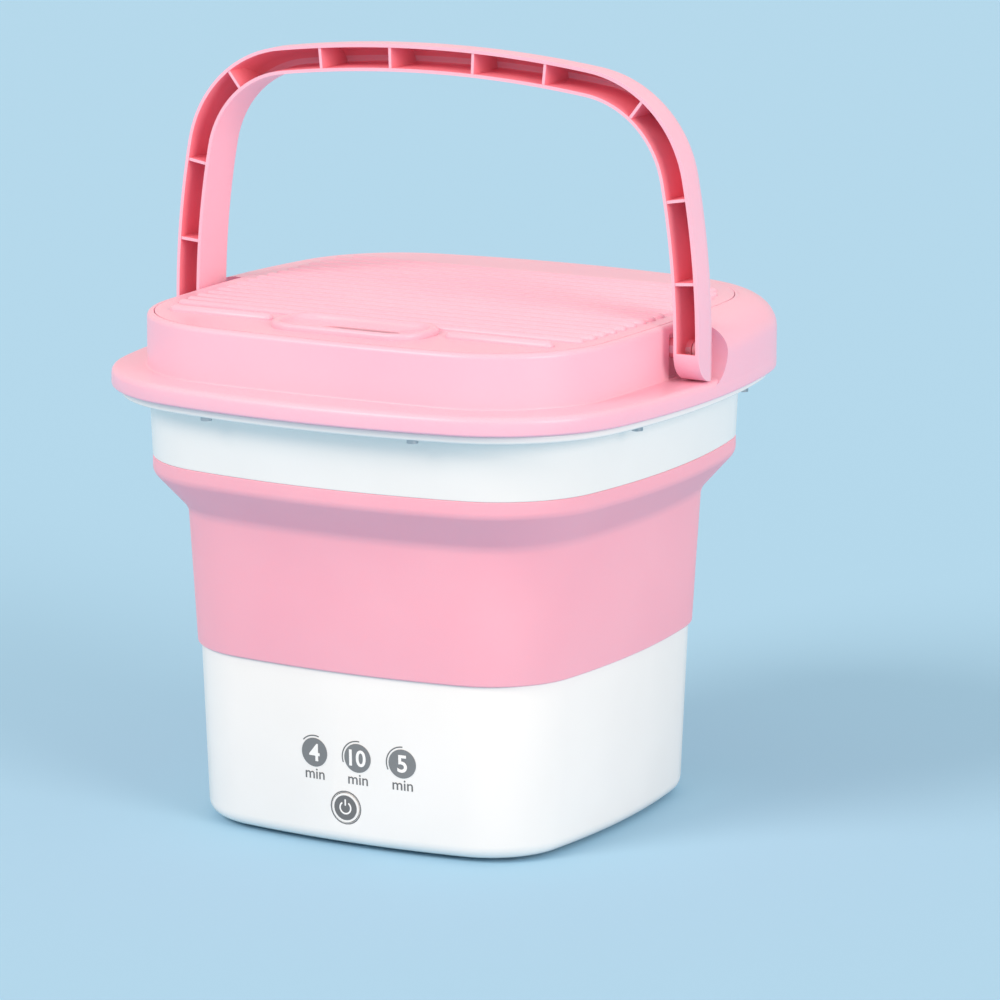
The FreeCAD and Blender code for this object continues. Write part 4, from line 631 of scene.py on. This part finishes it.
def slot_loop(bm, half_x, half_y, corner, middle_y, level):
    """A closed loop round the hand slot: four straight runs and four round corners."""
    before = set(bm.edges)
    last = first = bm.verts.new(Vector((half_x, middle_y - half_y + corner, level)) * MM)
    for quarter in range(4):
        turn = Matrix.Rotation(quarter * math.pi / 2, 3, "Z")
        run = (half_y if quarter % 2 == 0 else half_x) - corner
        moved = bmesh.ops.extrude_vert_indiv(bm, verts=[last])["verts"]
        bmesh.ops.translate(bm, verts=moved, vec=turn @ Vector((0, 2 * run, 0)) * MM)
        spun = bmesh.ops.spin(
            bm,
            geom=moved,
            cent=moved[0].co + turn @ Vector((-corner, 0, 0)) * MM,
            axis=(0, 0, 1),
            dvec=(0, 0, 0),
            angle=math.pi / 2,
            steps=10,
            use_duplicate=False,
        )
        last = next(g for g in spun["geom_last"] if isinstance(g, bmesh.types.BMVert))
    bmesh.ops.weld_verts(bm, targetmap={last: first})
    return [e for e in bm.edges if e not in before]


def round_slot(half_x, half_y, corner, shift, level, radius=0.0):
    """One loop of the hand slot's lip."""
    return (lambda bm: slot_loop(bm, half_x, half_y, corner, SLOT_Y + shift, level), radius)


hole = bmesh.new()
walled(
    hole,
    [round_slot(39.4, 16.4, 12.6, 0, 262), round_slot(39.4, 16.4, 12.6, 0, 240)],
    closed=False,
)
bmesh.ops.holes_fill(hole, edges=hole.edges)
bm = cut_with(bm, hole)
walled(
    bm,
    [
        round_slot(42.0, 19.0, 15.2, 0, 256.4),
        round_slot(42.0, 19.0, 15.2, 0, 260.0, 1.7),
        round_slot(38.0, 15.0, 11.2, 0, 260.0, 1.3),
        round_slot(36.6, 13.6, 10.6, 0, 257.4, 1.0),
        round_slot(25.0, 10.4, 9.0, 1.9, 255.9, 0.5),
        round_slot(22.5, 8.8, 8.0, 2.0, 255.5, 0.3),
        round_slot(22.5, 8.8, 8.0, 2.0, 254.5),
        round_slot(40.2, 17.2, 13.6, 0, 254.1),
        round_slot(40.2, 17.2, 13.6, 0, LID_FOOT),
        round_slot(42.0, 19.0, 15.2, 0, LID_FOOT),
    ],
)


def ridge(bm, length, half_width, height, x, y, level):
    """A round-backed bar along X with rounded ends, half sunk in the lid."""
    turned = Matrix.Rotation(math.pi / 2, 4, "Y")
    made = bmesh.ops.create_uvsphere(
        bm, u_segments=20, v_segments=9, radius=1.0, matrix=turned
    )["verts"]
    bmesh.ops.scale(bm, verts=made, vec=Vector((half_width, half_width, height)) * MM)
    run = length / 2 - half_width
    for side in (-1, 1):
        end = [v for v in made if v.co.x * side > 0]
        bmesh.ops.translate(bm, verts=end, vec=(side * run * MM, 0, 0))
    bmesh.ops.translate(bm, verts=made, vec=Vector((x, y, level)) * MM)


def ridge_reach(y, half=115.9):
    """Half the length that a ridge may have at a place across the lid, by the lid's outline."""
    bow, corner = 872.6 + half, half - 63.4
    side = half - bow
    c = (side + math.sqrt(2 * (bow - corner) ** 2 - side**2)) / 2
    if abs(y) < c:
        return side + math.sqrt(bow * bow - y * y)
    return c + math.sqrt(max(corner**2 - (abs(y) - c) ** 2, 0.0))


RIDGES, RIDGE_PITCH, RIDGE_FIRST = 17, 9.8, -69.0
RIDGE_HALF_WIDTH, RIDGE_HEIGHT = 3.4, 2.2
BAR_LENGTH, BAR_HEIGHT, BAR_X, BAR_BACK = 58.0, 3.0, 77.4, 3.5
for k in range(RIDGES):
    y = RIDGE_FIRST + RIDGE_PITCH * k
    length = 2 * ridge_reach(abs(y) + 2.0)
    ridge(bm, length, RIDGE_HALF_WIDTH, RIDGE_HEIGHT, 0.0, y, RIM_TOP)
for side in (-1, 1):
    across, back = side * BAR_X, SLOT_Y + BAR_BACK
    ridge(bm, BAR_LENGTH, RIDGE_HALF_WIDTH, BAR_HEIGHT, across, back, RIM_TOP)
finished(bm, "washboard_lid_visual", pink_pp, "lid", ["washboard_lid"])

# ---- Carrying handle ----
# A polypropylene bow of open channel section, ribbed inside like a crate's handle. Each arm ends
# in a round foot with a boss that turns on a pin in the block's side.
HALF, RISE, SIDE_BOW, CROWN_BOW, CORNER = 147.6, 140.49, 450.0, 650.0, 62.0
ARM, FRONT, BACK, SHOULDER, HANDLE_WALL = 13.5, 14.5, 12.6, -1.5, 1.7
side_x, top_z = HALF - SIDE_BOW, RISE - CROWN_BOW
apart = math.hypot(side_x, top_z)
along = ((SIDE_BOW - CORNER) ** 2 - (CROWN_BOW - CORNER) ** 2 + apart**2) / (2 * apart)
reach = math.sqrt((SIDE_BOW - CORNER) ** 2 - along**2)
bend_x = side_x * (1 - along / apart) - reach * top_z / apart
bend_z = top_z * along / apart - reach * side_x / apart
arm_sweep = math.atan2(bend_z, bend_x - side_x)
crown_sweep = math.atan2(bend_x, bend_z - top_z)
BENDS = (
    ((side_x, 0.0), arm_sweep, 14),
    ((bend_x, bend_z), math.pi / 2 - crown_sweep - arm_sweep, 20),
    ((0.0, top_z), 2 * crown_sweep, 22),
    ((-bend_x, bend_z), math.pi / 2 - crown_sweep - arm_sweep, 20),
    ((-side_x, 0.0), arm_sweep, 14),
)


def arm_face(bm, wall, front, level=0.0):
    """The handle's section at pivot level, inset by a wall: flat front, bulging rounded back."""
    outer, inner = HALF - wall, HALF - ARM + wall
    spots = (
        (outer, -front),
        (outer, SHOULDER),
        (outer - 2.2, SHOULDER + 6.6 - wall / 2),
        (inner + 5.0, BACK - wall - 1.2),
        (inner, BACK - wall),
        (inner, -front),
    )
    verts = [bm.verts.new(Vector((x, PIVOT_Y + y, PIVOT_Z + level)) * MM) for x, y in spots]
    bm.faces.new(verts)
    for picked, radius in ((verts[2:4], 3.2), (verts[1:2], 2.4), (verts[4:5], 1.4)):
        bmesh.ops.bevel(
            bm,
            geom=[v for v in picked if v.is_valid],
            offset=radius * MM,
            offset_type="OFFSET",
            segments=3,
            profile=0.5,
            affect="VERTICES",
            material=-1,
        )
    return next(iter(bm.faces))


def bow_solid(wall, front):
    """The handle's section carried round its two arms, two corners and crown as one solid."""
    bm = bmesh.new()
    face = arm_face(bm, wall, front)
    for (x, z), angle, steps in BENDS:
        spun = bmesh.ops.spin(
            bm,
            geom=[face],
            cent=Vector((x, PIVOT_Y, PIVOT_Z + z)) * MM,
            axis=(0, -1, 0),
            dvec=(0, 0, 0),
            angle=angle,
            steps=steps,
            use_duplicate=False,
        )
        face = next(g for g in spun["geom_last"] if isinstance(g, bmesh.types.BMFace))
    within = [f for f in bm.faces if all(len(e.link_faces) > 2 for e in f.edges)]
    bmesh.ops.delete(bm, geom=within, context="FACES_ONLY")
    return bm


def round_foot(wall, front, radius, side):
    """An arm's lower end: the section run down and trimmed to a round about the pivot."""
    bm = bmesh.new()
    face = arm_face(bm, wall, front, 0.5)
    run = bmesh.ops.extrude_face_region(bm, geom=[face], use_keep_orig=True)
    lower = [g for g in run["geom"] if isinstance(g, bmesh.types.BMVert)]
    bmesh.ops.translate(bm, verts=lower, vec=(0, 0, -20 * MM))
    if side < 0:
        bmesh.ops.scale(bm, verts=bm.verts, vec=(-1, 1, 1))
    trim = bmesh.new()
    rod(trim, (side * 140, PIVOT_Y, PIVOT_Z), radius, 30, "X", 96)
    return cut_with(bm, trim, "INTERSECT")


# The channel's inside: unpolished, with a rougher gloss, and a deeper, darker pink that is painted
# shade for the shade inside the channel.
pink_pp_painted_shade = moulded(
    "polypropylene_painted_channel_shade", "#FE9BAC", "#FC93A6", (0.5, 0.6), 0.8, 0.01,
    IOR=1.49,
)
outside = bow_solid(0.0, FRONT)
inside = bow_solid(HANDLE_WALL, FRONT + 1.0)
for side in (-1, 1):
    outside = cut_with(outside, round_foot(0.0, FRONT, FRONT, side), "UNION")
    foot_room = round_foot(HANDLE_WALL, FRONT + 1.0, FRONT - HANDLE_WALL, side)
    inside = cut_with(inside, foot_room, "UNION")
skin = BVHTree.FromBMesh(outside)
bm = cut_with(outside, inside)

# Ribs stand across the channel at these angles, in radians, round the arm, corner and crown.
RIB = 1.5
ARM_LEANS, CORNER_LEAN, CROWN_LEANS = (-0.008, 0.077, 0.168), 0.9076, (0.0976, 0.036)
leans = [
    (side_x + SIDE_BOW * math.cos(lean), SIDE_BOW * math.sin(lean), lean) for lean in ARM_LEANS
]
corner_x = bend_x + CORNER * math.cos(CORNER_LEAN)
leans.append((corner_x, bend_z + CORNER * math.sin(CORNER_LEAN), CORNER_LEAN))
for lean in CROWN_LEANS:
    x, z = CROWN_BOW * math.sin(lean), top_z + CROWN_BOW * math.cos(lean)
    leans.append((x, z, math.pi / 2 - lean))
plates = bmesh.new()
for x, z, lean in leans:
    for side in (-1, 1):
        verts = block(plates, (-15.0, -FRONT + 0.4, -RIB / 2), (1.0, BACK, RIB / 2))
        turn = Matrix.Translation(Vector((x, PIVOT_Y, z)) * MM) @ Matrix.Rotation(-lean, 4, "Y")
        mirror = Matrix.Diagonal((side, 1, 1, 1))
        lift = Matrix.Translation((0, 0, PIVOT_Z * MM))
        bmesh.ops.transform(plates, matrix=mirror @ lift @ turn, verts=verts)
plates = cut_with(plates, bow_solid(HANDLE_WALL / 2, FRONT), "INTERSECT")
bm = cut_with(bm, plates, "UNION")
HUB_X, HUB_R, BORE_R = 132.3, 4.9, 3.05
for side in (-1, 1):
    hub = bmesh.new()
    rod(hub, (side * HUB_X, PIVOT_Y, PIVOT_Z), HUB_R, 12.7, "X", 48)
    bm = cut_with(bm, hub, "UNION")
    bore = bmesh.new()
    rod(bore, (side * HUB_X, PIVOT_Y, PIVOT_Z), BORE_R, 13.6, "X", 48)
    bm = cut_with(bm, bore)
bow = finished(bm, "carry_handle_visual", pink_pp, "handle", ["carry_handle"])
bow.data.materials.append(pink_pp_painted_shade)
UNDER_SKIN, OPEN_FRONT = 0.5 * MM, -0.9
# Faces of the channel's inside, below the outer skin and not facing out of the open front, take the
# painted-shade pink.
for polygon in bow.data.polygons:
    depth = skin.find_nearest(polygon.center)[3]
    if depth > UNDER_SKIN and polygon.normal.y > OPEN_FRONT:
        polygon.material_index = 1

# ---- Pieces kept from the CAD ----
# Screws, seals, gears, the tub, the motor and the inlet keep their CAD form, which is their shape.
# Each gets a finish by its material in the record.

# Thermoplastic rubber feet and plug: dark to mid grey, dull, faintly grained.
grey_rubber = moulded(
    "thermoplastic_rubber_grey", "#8C8E90", "#838587", (0.62, 0.75), 0.5, 0.02,
    IOR=1.5,
)
# Liquid silicone rubber seals: translucent white, slightly waxy.
white_silicone = moulded(
    "silicone_seal_white", "#E9E8E4", "#E1E0DC", (0.4, 0.5), 0.8, 0.006,
    IOR=1.41, Subsurface_Weight=0.2, Subsurface_Radius=(0.004, 0.004, 0.003),
    Subsurface_Scale=1.0,
)
# Nitrile lip seal: near black.
black_rubber = moulded(
    "nitrile_rubber_black", "#1D1D1E", "#171718", (0.55, 0.65), 0.4, 0.01,
    IOR=1.52,
)
# Zinc-plated steel screws and brackets: cool, bright, with a faint blotch.
zinc_steel = moulded(
    "steel_zinc_plated", "#BFC3C8", "#A9AEB4", (0.28, 0.42), 0.5, 0.006,
    Metallic=1.0,
)
# Stainless shaft and screw, turned: cleaner and a little warmer.
stainless = moulded(
    "stainless_turned", "#C9C8C5", "#BDBCB9", (0.2, 0.28), 0.25, 0.004,
    Metallic=1.0,
)
# Sintered bronze-brass bush.
bush_brass = moulded("sintered_brass", "#B58E4B", "#A07A3C", (0.38, 0.5), 0.3, 0.01, Metallic=1.0)
# Cast nylon gears and washers: natural, slightly yellow white.
nylon = moulded(
    "nylon_natural", "#E7E3D6", "#DEDACC", (0.38, 0.48), 0.6, 0.006,
    IOR=1.53, Subsurface_Weight=0.1, Subsurface_Radius=(0.003, 0.003, 0.002),
    Subsurface_Scale=1.0,
)
# Glass-epoxy board under green solder mask.
solder_mask = moulded(
    "solder_mask_green", "#1F5A35", "#1A4E2E", (0.25, 0.35), 0.4, 0.01,
    IOR=1.5, Coat_Weight=0.3, Coat_Roughness=0.1,
)
# Glass-filled nylon switch and jack: matt black with a fine moulded grain.
black_plastic = moulded(
    "nylon_glass_filled_black", "#202122", "#1A1B1C", (0.45, 0.55), 0.35, 0.012,
    IOR=1.53,
)
# Lamp bodies: clear epoxy, a warm white when lit.
lamp_epoxy = moulded(
    "lamp_epoxy", "#F2EBD9", "#E9E1CD", (0.1, 0.16), 0.5, 0.002,
    IOR=1.55, Coat_Weight=0.4,
)

FINISHES = {
    "white_shell": white_abs,
    "white_moulding": moulded(
        "polypropylene_white", "#EFEEEC", "#E8E7E5", (0.32, 0.42), 1.0, 0.006,
        IOR=1.49,
    ),
    "pink_moulding": pink_pp,
    "pink_silicone": pink_silicone,
    "grey_rubber": grey_rubber,
    "white_silicone": white_silicone,
    "black_rubber": black_rubber,
    "steel": zinc_steel,
    "stainless": stainless,
    "bush_brass": bush_brass,
    "nylon": nylon,
    "circuit_board": solder_mask,
    "black_plastic": black_plastic,
    "lamp": lamp_epoxy,
    "grey_plastic": smoked_grey,
}
KEPT_SHARP_FROM = math.radians(32)
for part in frame["record"]["subparts"]:
    kept = frame["nodes"][part["node"]]
    kept.data.materials.clear()
    kept.data.materials.append(FINISHES[part["material_slot"]])
    kept.data.set_sharp_from_angle(angle=KEPT_SHARP_FROM)

# ---- Room, light and camera ----
# A pale blue paper floor under an even white room, with a soft key light from the front left and
# a wider, lower fill from the right.
paper = bpy.data.materials.new("paper_pale_blue")
paper.use_nodes = True
paper.node_tree.nodes.clear()
matt = add(paper.node_tree, "BsdfPrincipled", Base_Color=linear("#A4D1EB"), Roughness=0.9)
add(paper.node_tree, "OutputMaterial", [("Surface", matt.outputs["BSDF"])])
bm = bmesh.new()
bmesh.ops.create_grid(bm, x_segments=1, y_segments=1, size=15.0)
mesh = bpy.data.meshes.new("floor")
bm.to_mesh(mesh)
bm.free()
mesh.materials.append(paper)
floor = bpy.data.objects.new("floor", mesh)
bpy.context.scene.collection.objects.link(floor)

bpy.context.scene.view_settings.view_transform = "Standard"
world = bpy.data.worlds.new("studio")
bpy.context.scene.world = world
world.use_nodes = True
world.node_tree.nodes.clear()
sky = add(world.node_tree, "Background", Color=linear("#FFFDFB"), Strength=0.72)
add(world.node_tree, "OutputWorld", [("Surface", sky.outputs["Background"])])

LAMP_COLOUR = linear("#FFE8DA")[:3]
for name, way, strength, spread in (
    ("key", (-0.35, -0.75, 0.62), 1.5, 24.0),
    ("fill", (0.90, -0.30, 0.34), 1.5, 30.0),
):
    lamp = bpy.data.lights.new(name, "SUN")
    lamp.energy, lamp.angle, lamp.color = strength, math.radians(spread), LAMP_COLOUR
    holder = bpy.data.objects.new(name, lamp)
    holder.rotation_euler = Vector(way).to_track_quat("Z", "Y").to_euler()
    bpy.context.scene.collection.objects.link(holder)

AIM_HEIGHT = 0.130
AZIMUTH, ELEVATION, DISTANCE = math.radians(29.144), math.radians(12.49), 2.7449
view = bpy.data.cameras.new("view")
view.sensor_width, view.lens = 36.0, 197.3
view.shift_x, view.shift_y = 0.0530, 0.0508
eye = bpy.data.objects.new("view", view)
away = Vector(
    (
        math.sin(AZIMUTH) * math.cos(ELEVATION),
        -math.cos(AZIMUTH) * math.cos(ELEVATION),
        math.sin(ELEVATION),
    )
)
eye.location = Vector((0, 0, AIM_HEIGHT)) + away * DISTANCE
eye.rotation_euler = (-away).to_track_quat("-Z", "Y").to_euler()
bpy.context.scene.collection.objects.link(eye)
bpy.context.scene.camera = eye
